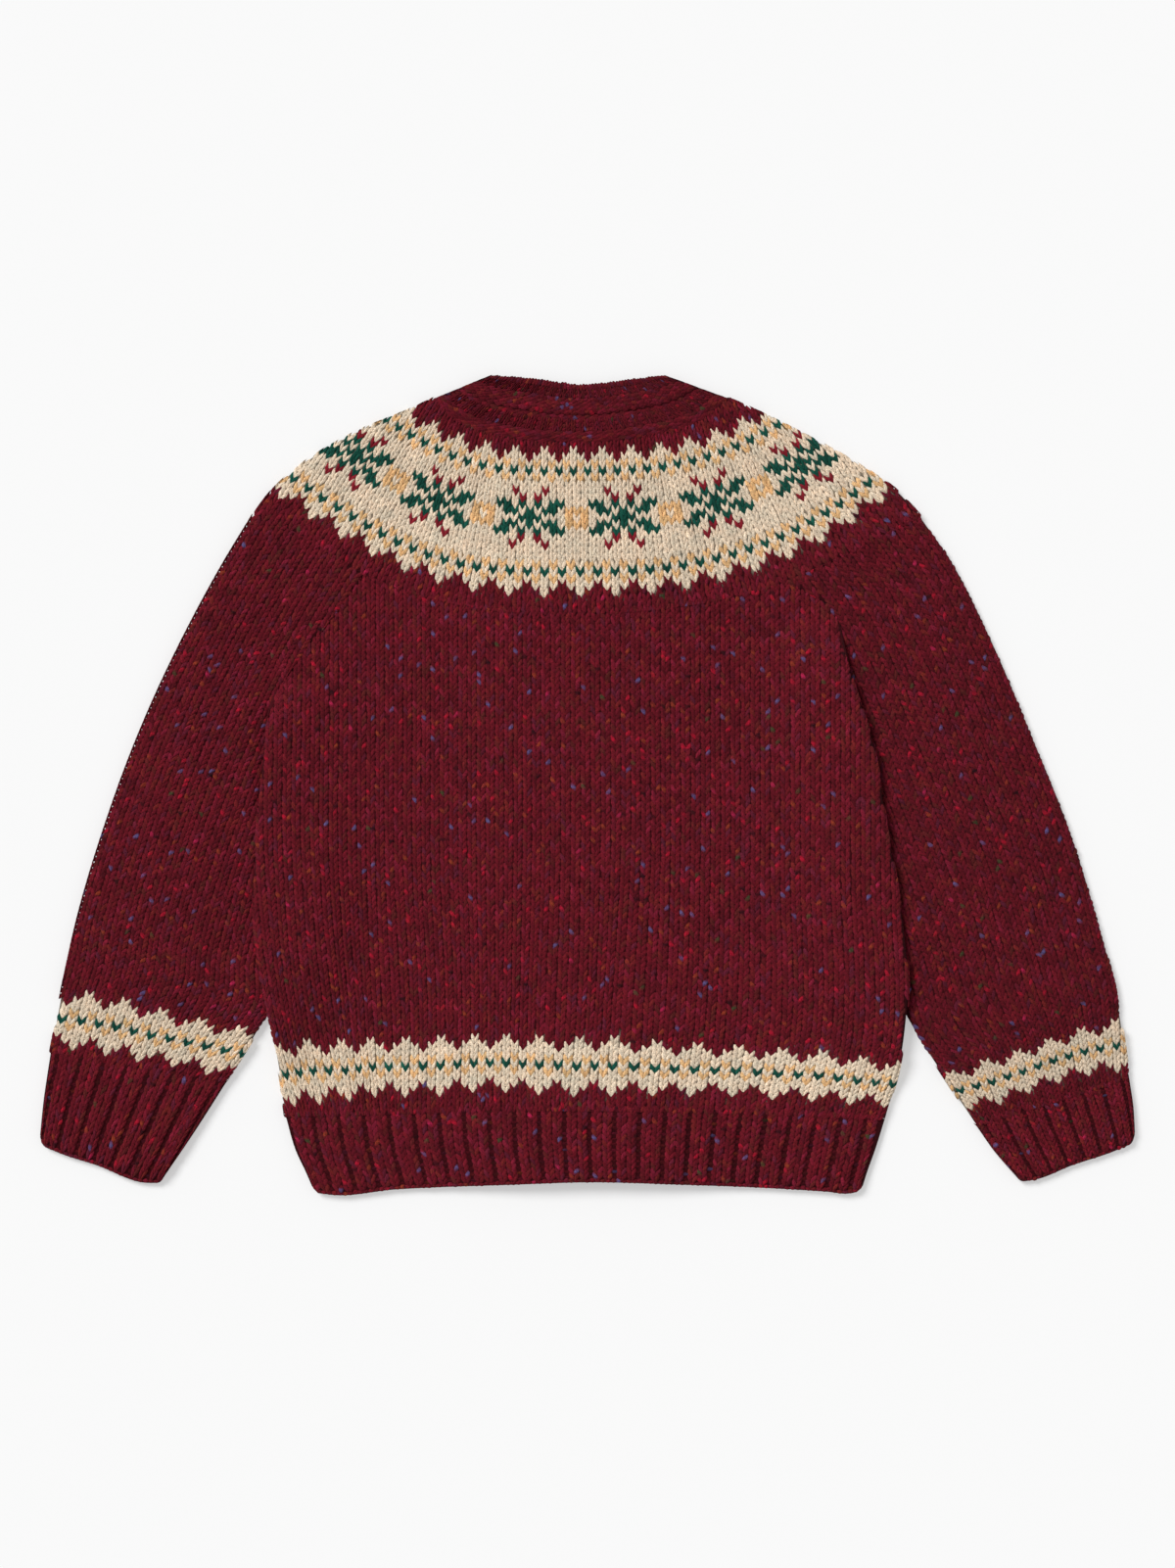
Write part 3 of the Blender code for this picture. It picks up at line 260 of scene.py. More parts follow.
# ---------------------------------------------------------------- charts
# A letter a stitch and a line a course, from the top: B burgundy, C cream, T tan, G green, R red
BORDER_CHART = ("CBBB", "CCBC", "CCCC", "CTCT", "GCGC", "CTCT", "CCCC", "CCBC", "CBBB")
YOKE_CHART = (
    "CBBBCBBBCBBB",
    "CCBCCCBCCCBC",
    "CTCTCTCTCTCT",
    "GCGCGCGCGCGC",
    "CTCTCTCTCTCT",
    "CCCCCCCCCCCC",
    "CCRCCCCCCCRC",
    "CRCCCCCCCCCR",
    "CGCGGCCCGGCG",
    "GCGGCTTTCGGC",
    "GGCCCTCTCCCG",
    "GCGGCTTTCGGC",
    "CGCGGCCCGGCG",
    "CRCCCCCCCCCR",
    "CCRCCCCCCCRC",
    "CCCCCCCCCCCC",
    "CCCCCCCCCCCC",
    "CTCTCTCTCTCT",
    "GCGCGCGCGCGC",
    "CTCTCTCTCTCT",
    "CCBCCCBCCCBC",
    "CBBBCBBBCBBB",
)
LETTERS = "BCTGR"
BAND_MIDDLE = 4.0         # row of the border's green course
# Neckband's courses from its seam up: height in courses of 3.5 mm, and what is knitted there
NECK_COURSES = ((0.35, "purl"), (1.1, "purl"), (1.85, "purl"), (2.7, "rib"), (3.6, "rib"),
                (4.5, "rib"), (5.3, "purl"), (6.3, "ridge"), (7.15, "ridge"), (8.0, "ridge"),
                (8.85, "ridge"), (9.7, "rib"), (10.6, "rib"), (11.75, "edge"))
NECK_COUNT = 12.0
NECK_FIRST = 4.0          # thirds of a rib before the neckband's first groove
# Its bars: how much higher than BAR, their width in ribs, the courses by which they waver, and mm
# that they stand prouder
NECK_BARS = {"purl": (1.1, 0.52, 0.13, 0.0), "ridge": (1.1, 0.52, 0.13, 0.3),
             "edge": (1.5, 0.44, 0.0, 0.3)}
NECK_BAR_STEP = 0.36      # ribs from bar to bar

# ---------------------------------------------------------------- creases
# Soft troughs and ridges of each layer: a line, its reach to each side and its height out of the
# cloth. The layers that lie on the table have troughs only.
CREASES = {
    "back": (
        (((-30, 32), (-26, -10), (-36, -62)), 10, -0.6),
        (((-112, 60), (-118, 18), (-108, -30)), 15, -0.7),
        (((92, 18), (100, -30), (96, -72)), 13, 0.6),
        (((60, 96), (98, 84), (128, 62)), 9, -0.8),
        (((-96, 96), (-120, 84), (-140, 58)), 8, -0.6),
        (((30, -20), (42, -58), (38, -86)), 8, -0.5),
        (((130, 62), (148, 12), (160, -42)), 9, -0.7),
    ),
    "fronts": (
        (((-122, 66), (-112, 8), (-120, -52)), 13, -0.9),
        (((-52, 10), (-60, -24), (-50, -76)), 9, -0.6),
        (((62, 54), (80, -10), (76, -48)), 11, -0.8),
        (((118, 70), (130, 20), (124, -70)), 15, -0.9),
    ),
    "sleeve_left": (
        (((-192, 160), (-180, 120), (-176, 84)), 12, -1.0),
        (((-185, 72), (-190, 14), (-194, -44)), 6, -1.4),
        (((-252, 64), (-262, 14), (-284, -40)), 12, -0.7),
        (((-226, -2), (-236, -54), (-232, -84)), 9, 0.6),
    ),
    "sleeve_left_under": (
        (((-216, 96), (-238, 40), (-250, -24)), 12, -0.9),
        (((-252, -30), (-256, -60), (-270, -94)), 8, -0.6),
    ),
    "sleeve_right": (
        (((149, 112), (167, 48), (184, -22), (195, -92)), 8, -1.5),
        (((206, 132), (228, 66), (246, 22)), 14, -0.8),
        (((268, -22), (282, -70), (286, -108)), 15, -0.9),
        (((226, 10), (232, -30), (250, -76)), 10, 0.5),
    ),
    "sleeve_right_under": (
        (((204, 104), (226, 48), (232, -12)), 13, -0.9),
        (((252, 0), (258, -44), (274, -86)), 9, -0.7),
    ),
}

CREASE_FADE = 0.35        # share of its length over which a crease fades at each end

# ---------------------------------------------------------------- yarn
# For each letter its sRGB colour and by how much a strand of it is lighter or darker
YARNS = (
    ("61121e", 0.14),      # burgundy
    ("dbc8b1", 0.06),      # cream
    ("d9ae7c", 0.08),      # tan
    ("14483c", 0.16),      # green
    ("7d1d28", 0.14),      # red
)
# Shares of a yarn's colour, as painted shade: sleeves (the right one darker), neckband, purl bars
# in a groove, selvedges, cloth behind
SLEEVE_PAINTED_SHADE = {"left": 0.95, "right": 0.87}
NECK_PAINTED_SHADE, GROOVE_PAINTED_SHADE, SELVEDGE_PAINTED_SHADE, BEHIND_PAINTED_SHADE = 0.8, 0.4, 0.4, 0.28
MOST_BLEND = 0.68         # root of the largest share of another shade in the burgundy
# Shades blended into the burgundy, sRGB: lighter and darker red, rust, violet and olive brown
BLEND = ("86203a", "3a0c14", "742a20", "4e2238", "46281c")
# Neps spun into the burgundy: sRGB colour, share of the strands that show one
NEPS = (
    ("a5142c", 0.022),
    ("843520", 0.018),
    ("56507e", 0.012),
    ("344026", 0.005),
    ("1c0a10", 0.010),
    ("a82048", 0.003),
)
# A knit strand from its root to its tip: share of a wale across, share of a course up, half its
# width in wales, and mm that its crest and its sides stand over the cloth's face
STRAND = np.array((
    (0.06, -0.68, 0.08, -0.75, -1.15),
    (0.14, -0.32, 0.18, -0.05, -1.05),
    (0.23, 0.08, 0.225, 0.18, -1.00),
    (0.305, 0.48, 0.205, 0.02, -1.00),
    (0.355, 0.92, 0.09, -0.80, -1.15),
))
HIDDEN_ROWS = [0, 1, 3, 4]              # rows of a strand or bar that a stitch seen from below has
# A purl bar from end to end: share of a wale across, half its width in courses, crest, sides
BAR = np.array((
    (-0.58, 0.16, -0.75, -1.10),
    (-0.30, 0.38, 0.08, -1.00),
    (0.05, 0.46, 0.22, -1.00),
    (0.35, 0.38, 0.02, -1.00),
    (0.60, 0.14, -0.80, -1.10),
))
# How unlike stitches are: spread of their size, lean, rise and of each strand's own place
UNEVEN_SIZE, UNEVEN_LEAN, UNEVEN_RISE, UNEVEN_STRAND = 0.05, 0.035, 0.07, 0.04


# ---------------------------------------------------------------- curves and blends
def smooth(value):
    """Ease from 0 to 1: 3 t^2 - 2 t^3, held level outside."""
    t = np.clip(value, 0.0, 1.0)
    return t * t * (3.0 - 2.0 * t)


def round_off(distance, reach, low):
    """Share of the wall's thickness near an edge: a quarter ellipse from low up to 1."""
    t = np.clip(np.asarray(distance) / reach, 0.0, 1.0)
    return low + (1.0 - low) * np.sqrt(1.0 - (1.0 - t) ** 2)


def hermite(t, start, end, leaving, arriving):
    """Cubic Hermite curve from start to end with the tangents it leaves and arrives by."""
    return ((2 * t**3 - 3 * t**2 + 1) * start + (t**3 - 2 * t**2 + t) * leaving
            + (3 * t**2 - 2 * t**3) * end + (t**3 - t**2) * arriving)


def dense(points, per_span=24):
    """A cubic Hermite curve through the points, with chord-length tangents, as close samples."""
    p = np.array(points, float)
    span = np.linalg.norm(np.diff(p, axis=0), axis=1)
    slope = np.diff(p, axis=0) / span[:, None]
    weight = (span[1:] / (span[1:] + span[:-1]))[:, None]
    inside = slope[:-1] * weight + slope[1:] * (1.0 - weight)
    tangent = np.concatenate([slope[:1], inside, slope[-1:]])
    t = np.linspace(0.0, 1.0, per_span, endpoint=False)[None, :, None]
    body = hermite(t, p[:-1, None], p[1:, None], tangent[:-1, None] * span[:, None, None],
                   tangent[1:, None] * span[:, None, None])
    return np.vstack([body.reshape(-1, 2), p[-1:]])


def lengths(samples):
    """Length of a sampled curve up to each sample."""
    return np.concatenate([[0.0], np.cumsum(np.linalg.norm(np.diff(samples, axis=0), axis=1))])


def length_of(samples):
    return lengths(samples)[-1]


def read(known, table, at):
    """Each column of a table, given at known places, read at other places."""
    return np.stack([np.interp(at, known, column) for column in table.T], axis=-1)


def along(samples, fraction, values=None):
    """Points of a sampled curve, or values given at its samples, at fractions of its length."""
    length = lengths(samples)
    return read(length, samples if values is None else values, np.asarray(fraction) * length[-1])


def across_at(samples, up):
    """Across for a height, on a curve that runs downwards."""
    return np.interp(-np.asarray(up), -samples[:, 1], samples[:, 0])


def up_at(samples, across):
    """Height for an across, on a curve that runs to the right."""
    return np.interp(across, samples[:, 0], samples[:, 1])


def piece_of(samples, first_row, last_row, per_span=24):
    """The samples between two rows of the table they were made from."""
    return samples[first_row * per_span:last_row * per_span + 1]


def line_through(known, values, at):
    """Straight pieces through known values, carried on past both ends."""
    inside = np.interp(at, known, values)
    low = (values[1] - values[0]) / (known[1] - known[0])
    high = (values[-1] - values[-2]) / (known[-1] - known[-2])
    return inside + np.minimum(at - known[0], 0) * low + np.maximum(at - known[-1], 0) * high


def square_to(samples):
    """Unit vectors square to a sampled curve, to the left of the way it runs."""
    run = np.gradient(samples, axis=0)
    return np.stack([-run[:, 1], run[:, 0]], axis=-1) / np.linalg.norm(run, axis=1)[:, None]


def offset(samples, amount):
    """A sampled curve moved sideways, to the left of the way it runs."""
    return samples + amount * square_to(samples)


def cut_at(samples, across, keep_left):
    """The part of a curve that runs to the right, up to or from a given across."""
    cut = np.array([[across, up_at(samples, across)]])
    if keep_left:
        return np.vstack([samples[samples[:, 0] < across], cut])
    return np.vstack([cut, samples[samples[:, 0] > across]])


def coons(s, v, low, high, left, right, corners):
    """Two ruled surfaces less their corners' bilinear one, at shares s across and v up."""
    a, b, c, d = corners
    ruled = (1 - v) * low + v * high + (1 - s) * left + s * right
    return ruled - ((1 - s) * (1 - v) * a + s * (1 - v) * b + (1 - s) * v * c + s * v * d)


def patch(lower, upper, left, right, across, up):
    """A Coons patch between four lines, at any shares of them."""
    s, v = np.broadcast_arrays(np.asarray(across, float), np.asarray(up, float))
    return coons(s[..., None], v[..., None], along(lower, s), along(upper, s), along(left, v),
                 along(right, v), (left[0], right[0], left[-1], right[-1]))


def patch_past(lines, across, up):
    """A patch carried on straight past its lower and upper lines."""
    across, inner = np.clip(across, 0.0, 1.0), np.clip(up, 0.0, 1.0)
    past = (up - inner)[..., None]
    step = np.where(inner > 0.5, -0.02, 0.02)
    slope = (patch(*lines, across, inner + step) - patch(*lines, across, inner)) / step[..., None]
    return patch(*lines, across, inner) + slope * past


def through(levels, at, course):
    """Points on smooth paths that cross a few levels, each level at its own course.

    Between two levels it is a cubic Hermite curve whose tangents are the weighted slopes of
    the neighbouring spans, and past the first and last level it runs on straight.
    """
    at = np.asarray(at, float)
    gap = np.diff(at)[:, None, None]
    slope = np.diff(levels, axis=0) / gap
    middle = (slope[:-1] * gap[1:] + slope[1:] * gap[:-1]) / (gap[1:] + gap[:-1])
    tangent = np.concatenate([slope[:1], middle, slope[-1:]])
    k = np.clip(np.searchsorted(at, course) - 1, 0, len(at) - 2)
    n = np.arange(len(course))
    wide = np.diff(at)[k]
    free = (course - at[k]) / wide
    t = np.clip(free, 0.0, 1.0)[:, None]
    wide, past = wide[:, None], (free - np.clip(free, 0.0, 1.0))[:, None]
    a, b, ta, tb = levels[k, n], levels[k + 1, n], tangent[k, n] * wide, tangent[k + 1, n] * wide
    return hermite(t, a, b, ta, tb) + past * np.where(past < 0, ta, tb)


def closest(samples, x, y):
    """Nearest sample of a line to each point: its distance, its x and y, and its number."""
    distance = np.full(np.shape(x), np.inf)
    number = np.zeros(np.shape(x), int)
    for k, (a, b) in enumerate(samples):
        d = (x - a) ** 2 + (y - b) ** 2
        nearer = d < distance
        distance = np.where(nearer, d, distance)
        number = np.where(nearer, k, number)
    return np.sqrt(distance), samples[number, 0], samples[number, 1], number


def inside(outline, x, y):
    """A level line from a point inside crosses the outline an odd number of times."""
    within = np.zeros(np.shape(x), bool)
    for (ax, ay), (bx, by) in zip(outline, np.roll(outline, -1, axis=0)):
        if ay != by:
            crosses = (ay > y) != (by > y)
            within ^= crosses & (x < (bx - ax) * (y - ay) / (by - ay) + ax)
    return within


def evenly(samples, step):
    """A line again with samples an even step apart."""
    return along(samples, np.linspace(0.0, 1.0, max(2, int(length_of(samples) / step) + 1)))


def closed(outline, step):
    """An outline's line back to its start, with samples an even step apart."""
    return evenly(np.vstack([outline, outline[:1]]), step)


SIDE = {"left": dense(BODY_SIDE_LEFT), "right": dense(BODY_SIDE_RIGHT)}
INNER = {"left": dense(SLEEVE_INNER_LEFT), "right": dense(SLEEVE_INNER_RIGHT)}
OUTER = {"left": dense(SLEEVE_OUTER_LEFT), "right": dense(SLEEVE_OUTER_RIGHT)}
SEAM_LINE = dense(YOKE_SEAM)
CORNER = {"left": np.array(YOKE_SEAM[RAGLAN_TOP_LEFT]),
          "right": np.array(YOKE_SEAM[RAGLAN_TOP_RIGHT])}
UNDERARM = {"left": np.array(BODY_SIDE_LEFT[0]), "right": np.array(BODY_SIDE_RIGHT[0])}
SIGN = {"left": -1.0, "right": 1.0}


# ---------------------------------------------------------------- heights of the layers
def tuck_lift(x, y):
    """Rise of the body where a sleeve lies under its side.

    Level over the sleeve, then an ease down to nothing with the distance inward from the
    sleeve's inner edge; it grows from nothing over a short ramp below each underarm.
    """
    rise = np.zeros(np.broadcast(x, y).shape)
    for side in ("left", "right"):
        inward = SIGN[side] * (across_at(INNER[side], y) - x)
        over = 1.0 - smooth((inward - TUCK_FLAT) / (TUCK_END - TUCK_FLAT))
        ramp = smooth((UNDERARM[side][1] - y) / TUCK_RAMP)
        rise = np.maximum(rise, TUCK_LIFT * over * ramp)
    return rise


def crown(x, y):
    """Rise of the back over the bands and buttons: level over them, then a long ease down."""
    fade = 1.0 - smooth((y - CROWN_FADE[0]) / (CROWN_FADE[1] - CROWN_FADE[0]))
    return CROWN * (1.0 - smooth((np.abs(x) - BAND_EDGE) / CROWN_REACH)) * fade


def low_floor(x, y):
    """Underside of the front layer. The left front meets the upper band, the right the lower."""
    share = np.where(x < 0, 1.0, BUTTON_LIFT / CROWN)
    return tuck_lift(x, y) + crown(x, y) * share


def high_floor(x, y):
    """Underside of the back layer."""
    return tuck_lift(x, y) + crown(x, y) + WALL + PLY_GAP


def body_side(side, up):
    """Across of the body's side at a height: a straight raglan, then the side seam."""
    raglan = np.array([CORNER[side], UNDERARM[side]])
    return np.where(np.asarray(up) > UNDERARM[side][1], across_at(raglan, up),
                    across_at(SIDE[side], up))


def side_edge(side, distance, up, lower_edge):
    """Share of the wall near a side: crisp on the raglan, as lower_edge says below the underarm."""
    below = smooth((UNDERARM[side][1] - up) / TUCK_RAMP + 0.2)
    upper, lower = round_off(distance, *RAGLAN_EDGE), round_off(distance, *lower_edge)
    return upper * (1.0 - below) + lower * below


def body_wall(x, y):
    """Share of the body's wall near its sides."""
    share = 1.0
    for side in ("left", "right"):
        share = share * side_edge(side, SIGN[side] * (body_side(side, y) - x), y, BODY_EDGE)
    return share


# ---------------------------------------------------------------- where a stitch lies
def tip_and_peak(band, wale):
    """Where wales lie on the lines of a band's tips and peaks, from the neighbours in its table."""
    return (np.stack([line_through(band[:, 0], band[:, k], wale) for k in columns], axis=-1)
            for columns in ((3, 4), (1, 2)))


def body_place(wale, course):
    """Back and fronts: through the band's tips and peaks, then level rows up to the yoke."""
    tip, peak = tip_and_peak(HEM_BAND, wale)
    x = FIRST_ACROSS + (wale - FIRST_WALE) * np.where(wale < FIRST_WALE, WALE_LEFT, WALE_RIGHT)
    bow = peak[:, 1] - PEAK_LEVEL

    def level(number):
        fade = 1.0 - smooth((number - PEAK_COURSE) / BOW_COURSES)
        return np.stack([x, PEAK_LEVEL + bow * fade + (number - PEAK_COURSE) * COURSE], axis=-1)

    levels = np.stack([tip, peak, *(level(number) for number in BODY_LEVELS)])
    return through(levels, (TIP_COURSE, PEAK_COURSE, *BODY_LEVELS), course)


def sleeve_place(side):
    """Above the band each course leaves the outer fold at its own slant."""
    rows, band, on_fold, width, height, sense = SLEEVES[side]
    fold = OUTER[side][::-1]
    fold_length = lengths(fold)
    _, peak_on_fold = tip_and_peak(band, np.array([on_fold]))
    start = np.interp(peak_on_fold[0, 1], fold[:, 1], fold_length)
    known = np.array(rows)[::-1]

    def place(wale, course):
        tip, peak = tip_and_peak(band, wale)
        banded = tip + (peak - tip) * ((course - TIP_COURSE) / (PEAK_COURSE - TIP_COURSE))[:, None]
        run = start + (course - PEAK_COURSE) * height
        past = np.clip(run - fold_length[-1], 0, None)
        at = read(fold_length, fold, run) + past[:, None] * np.array([-sense * 0.5, 0.87])
        slant = np.radians(np.interp(at[:, 1], known[:, 0], known[:, 1]))
        step = np.stack([np.cos(slant), sense * np.sin(slant)], axis=-1)
        upper = at + ((wale - on_fold) * width)[:, None] * step
        return banded + (upper - banded) * smooth((course - 5.0) / 12.0)[:, None]

    return place


def yoke_place(band):
    """Courses at even distances from the line of the stars' middles, wales square to it."""
    _, _, width, measured, across = band
    line = dense(STAR_LINE)
    number = np.arange(len(line), dtype=float)
    square = square_to(line)
    row = line + square * (STAR_COURSE - measured) * BAND_COURSE
    length = lengths(row)
    zero = np.interp(across, row[:, 0], length)

    def place(wale, course):
        at = np.interp(zero + wale * width, length, number)
        away = ((STAR_COURSE + course) * BAND_COURSE)[:, None]
        return read(number, line, at) + read(number, square, at) * away

    return place


# ---------------------------------------------------------------- faces of the cloth
def creased(layer, x, y):
    """Rise of the cloth over a layer's soft creases: full along each line, none at its ends."""
    rise = np.zeros(np.shape(x))
    for line, reach, height in CREASES[layer]:
        line = evenly(np.array(line, float), 2.0)
        gap, _, _, number = closest(line, x, y)
        run = number / (len(line) - 1)
        rise = rise + (height * np.exp(-(gap / reach) ** 2) * smooth(run / CREASE_FADE)
                       * smooth((1.0 - run) / CREASE_FADE))
    return rise


def back_face(x, y):
    return high_floor(x, y) + WALL * body_wall(x, y) + creased("back", x, y)


def front_face(x, y):
    return low_floor(x, y) + WALL * (1.0 - body_wall(x, y)) - creased("fronts", x, y)


def strip_face(folds, high):
    """Yoke and neckband: round at the shoulder folds, high behind and low in front."""
    lines = [evenly(fold, 1.5) for fold in folds]

    def face(x, y):
        shape = np.shape(x)
        x, y = np.ravel(x), np.ravel(y)
        gap = np.minimum(*(closest(line, x, y)[0] for line in lines))
        up = round_off(gap, FOLD_REACH, 0.0)
        low, top = low_floor(x, y), high_floor(x, y)
        middle = (low + WALL + top) / 2
        z = middle + (top - middle + WALL) * up if high else middle - (middle - low) * up
        return z.reshape(shape)

    return face


def sleeve_face(side, high):
    """A tube pressed flat, round at its outer fold, thin at its inner edge, a little full above."""
    fold = evenly(OUTER[side], 2.0)
    raglan = np.array([CORNER[side], UNDERARM[side]])
    edge = np.vstack([evenly(raglan, 2.0), evenly(INNER[side], 2.0)])
    total = length_of(OUTER[side])

    def face(x, y):
        shape = np.shape(x)
        x, y = np.ravel(x), np.ravel(y)
        from_fold, _, _, number = closest(fold, x, y)
        from_inner, _, edge_up, _ = closest(edge, x, y)
        run = number / (len(fold) - 1) * total
        up = round_off(from_fold, FOLD_REACH, 0.0)
        puff = (SLEEVE_PUFF * smooth((from_inner - PUFF_START) / PUFF_INNER)
                * smooth(from_fold / PUFF_OUTER) * smooth(run / PUFF_ENDS)
                * smooth((total - run) / PUFF_ENDS))
        half = PLY_GAP / 2 + WALL * side_edge(side, from_inner, edge_up, SLEEVE_EDGE)
        if high:
            z = FLAT_TUBE / 2 + (half + puff + creased("sleeve_" + side, x, y)) * up
        else:
            z = FLAT_TUBE / 2 - (half + creased("sleeve_" + side + "_under", x, y)) * up
        return z.reshape(shape)

    return face


def rib_depth_at(rib, depth):
    """Depth of a rib's groove; rib counts the grooves. A narrow bell at each whole number."""
    return -depth * np.exp(-((rib - np.round(rib)) / GROOVE) ** 2)


# ---------------------------------------------------------------- stitches
class Knitting:
    """Stitches of one piece, gathered row by row, then made one mesh.

    number picks the piece's random numbers. low turns the piece over: it is seen from below, its
    normals point down, and its stitches are plainer.
    """

    def __init__(self, name, number, low=False):
        self.name, self.rng, self.low = name, generator(number), low
        self.strand = STRAND[HIDDEN_ROWS] if low else STRAND
        self.proud = 0.0 if low else knit_settings().proud
        self.points, self.faces, self.dyes, self.strand_maps = [], [], [], []
        self.centres, self.letters = [], []
        self.count = 0

    def add(self, form, wale, course, letter, place, face, wide=1.0, both=True, lift=0.0,
            pull=None, dim=1.0):
        """Adds a stitch at each wale and course; letter is a yarn for each, or for all.

        place(u, v) gives points and face(x, y, u, v) heights. both makes a knit stitch's two
        strands, not a purl bar. lift is what it stands prouder than the piece's other stitches.
        """
        rng = self.rng
        n, rows = len(wale), len(form)
        if not n:
            return
        letter = np.zeros(n, int) + letter
        self.centres.append(place(wale, course))
        self.letters.append(letter)
        size, lean, rise = (rng.normal(middle, spread, (n, 1, 1, 1)) for middle, spread in (
            (1.0, UNEVEN_SIZE), (0.0, UNEVEN_LEAN), (0.0, UNEVEN_RISE)))
        side = np.array([-1.0, 0.0, 1.0])
        if both:
            sign = np.array([-1.0, 1.0])[:, None, None]
            u = sign * form[:, 0, None] + side * form[:, 2, None]
            v = np.broadcast_to(form[:, 1, None], u.shape)
        else:
            u = np.broadcast_to(form[:, 0, None], (1, rows, 3))
            v = np.broadcast_to(-side * form[:, 1, None], u.shape)
        crest, edges = form[:, -2, None], form[:, -1, None]
        h = np.broadcast_to(np.where(side == 0, crest, edges), u.shape)[None]
        h = h + rise * (side == 0) + (self.proud + lift)
        own = rng.normal(0.0, UNEVEN_STRAND, (n, u.shape[0], 1, 1))
        across = wale[:, None, None, None] + wide * (u[None] * size + lean * (0.4 + v[None]))
        up = course[:, None, None, None] + v[None] * (1.0 + own) + own
        plan = place(across.ravel(), up.ravel())
        if pull is not None:
            plan = pull(plan)
        z = face(plan[:, 0], plan[:, 1], across.ravel(), up.ravel())
        z = np.maximum(z - h.ravel(), 0.02) if self.low else z + h.ravel()
        strands = n * u.shape[0]
        corner = np.arange(rows * 3).reshape(rows, 3)
        quads = quads_of(corner[:-1, :-1], corner[:-1, 1:], corner[1:, 1:], corner[1:, :-1])
        if self.low:
            quads = quads[:, ::-1]
        faces = np.arange(strands)[:, None, None] * rows * 3 + quads
        length = np.linspace(0.0, 1.0, rows)[:, None] + np.zeros((rows, 3))
        width = (side + 1.0) / 2.0 + np.zeros((rows, 3))
        one = np.stack([length, width], axis=-1).reshape(1, -1, 2)
        # The yarn's colour times a share that paints shade on some pieces and in grooves.
        dyes = self.dyed(np.repeat(letter, u.shape[0]), rows) * dim
        shift = rng.uniform(0.0, 1.0, (strands, 1, 1)) * np.array([1.0, 0.0])
        self.gather(np.column_stack([plan, z]), faces.reshape(-1, 4), dyes,
                    (one + shift).reshape(-1, 2))

    def gather(self, points, faces, dyes, strand_map):
        self.points.append(points)
        self.faces.append(faces + self.count)
        self.dyes.append(dyes)
        self.strand_maps.append(strand_map)
        self.count += len(points)

    def add_stocking(self, wale, course, letter, place, face, outline, dim=1.0):
        """Knit stitches on a plain face, kept within an outline."""
        self.add(self.strand, wale, course, letter, place, lambda x, y, u, v: face(x, y),
                 pull=kept_within(outline), dim=dim)

    def dyed(self, letter, rows):
        """Colour of each strand's points: its yarn, lighter or darker, and now and then a nep.

        Burgundy wool is blended from several shades, so its hue shifts too. A nep is a soft spot
        somewhere along its strand.
        """
        rng = self.rng
        n = len(letter)
        spread = np.array([spread for _, spread in YARNS])[letter]
        colour = DYES[letter] * np.exp(rng.normal(0.0, 1.0, n) * spread)[:, None]
        blend = np.array([linear(tone) for tone in BLEND])[rng.integers(0, len(BLEND), n)]
        share = np.where(letter == 0, rng.uniform(0.0, MOST_BLEND, n) ** 2, 0.0)[:, None]
        colour = colour * (1.0 - share) + blend * share
        colour = np.repeat(colour[:, None], rows * 3, axis=1).reshape(n, rows, 3, 3)
        draw = np.where(letter == 0, rng.uniform(0.0, 1.0, n), 2.0)
        middle = rng.uniform(0.3, 0.75, n)[:, None] * (rows - 1)
        spot = np.clip(1.35 - np.abs(np.arange(rows)[None] - middle), 0.0, 1.0)[:, :, None, None]
        spot = spot * rng.uniform(0.55, 1.0, (n, 1, 1, 1))
        low = 0.0
        for tone, share in NEPS:
            chosen = ((draw >= low) & (draw < low + share))[:, None, None, None]
            colour = np.where(chosen, colour * (1.0 - spot) + linear(tone) * spot, colour)
            low += share
        return colour.reshape(-1, 3)

    def add_seam(self, line, face, half=1.9, under=1.25, thick=0.8):
        """The selvedges along a seam: a flat strip under the stitches, this far behind the face,
        dark as painted shade.
        """
        line = evenly(line, 3.0)
        plan = np.stack([offset(line, half), offset(line, -half)], axis=1)
        z = face(plan[..., 0], plan[..., 1])
        down = -1.0 if self.low else 1.0
        points, faces = closed_sheet(raised(plan, z - down * under),
                                     raised(plan, z - down * (under + thick)))
        a, b, c = points[faces[0, :3]]
        if np.cross(b - a, c - b)[2] * down < 0:
            faces = faces[:, ::-1]
        self.gather(points, faces, np.tile(DYES[0] * SELVEDGE_PAINTED_SHADE, (len(points), 1)),
                    np.zeros((len(points), 2)))

    def add_chain(self, line, height, step=CHAIN_LOOP, lift=0.0):
        """A chain of loops that lie end to end along a line, as on a cast-off edge or a seam."""
        line = evenly(line, 1.0)
        count = length_of(line) / step
        square = square_to(line)

        def place(loop, aside):
            share = loop / count
            return along(line, share) + along(line, share, square) * (aside * step)[:, None]

        loop = np.arange(0.5, count)
        self.add(BAR, loop, 0.0 * loop, 0, place,
                 lambda x, y, u, v: height(x, y), both=False, lift=lift)

    def build(self, material):
        points, faces = np.vstack(self.points), np.vstack(self.faces)
        obj = mesh_object(self.name + "_yarn", points, faces, material)
        paint(obj, np.vstack(self.dyes))
        uv = obj.data.uv_layers.new(name="strand")
        strand_map = np.vstack(self.strand_maps)[faces.ravel()]
        uv.data.foreach_set("uv", strand_map.astype(np.float32).ravel())
        return obj

    def painted_shade_for(self, plan, at_once=1500):
        """Colour for points of the cloth behind: the nearest stitch's yarn, darkened as painted
        shade.
        """
        centres = np.vstack(self.centres)
        letters = np.concatenate(self.letters)
        colour = np.empty((len(plan), 3))
        for first in range(0, len(plan), at_once):
            part = plan[first:first + at_once]
            gap = (centres ** 2).sum(axis=1) - 2.0 * part @ centres.T
            colour[first:first + at_once] = DYES[letters[gap.argmin(axis=1)]]
        return colour * BEHIND_PAINTED_SHADE


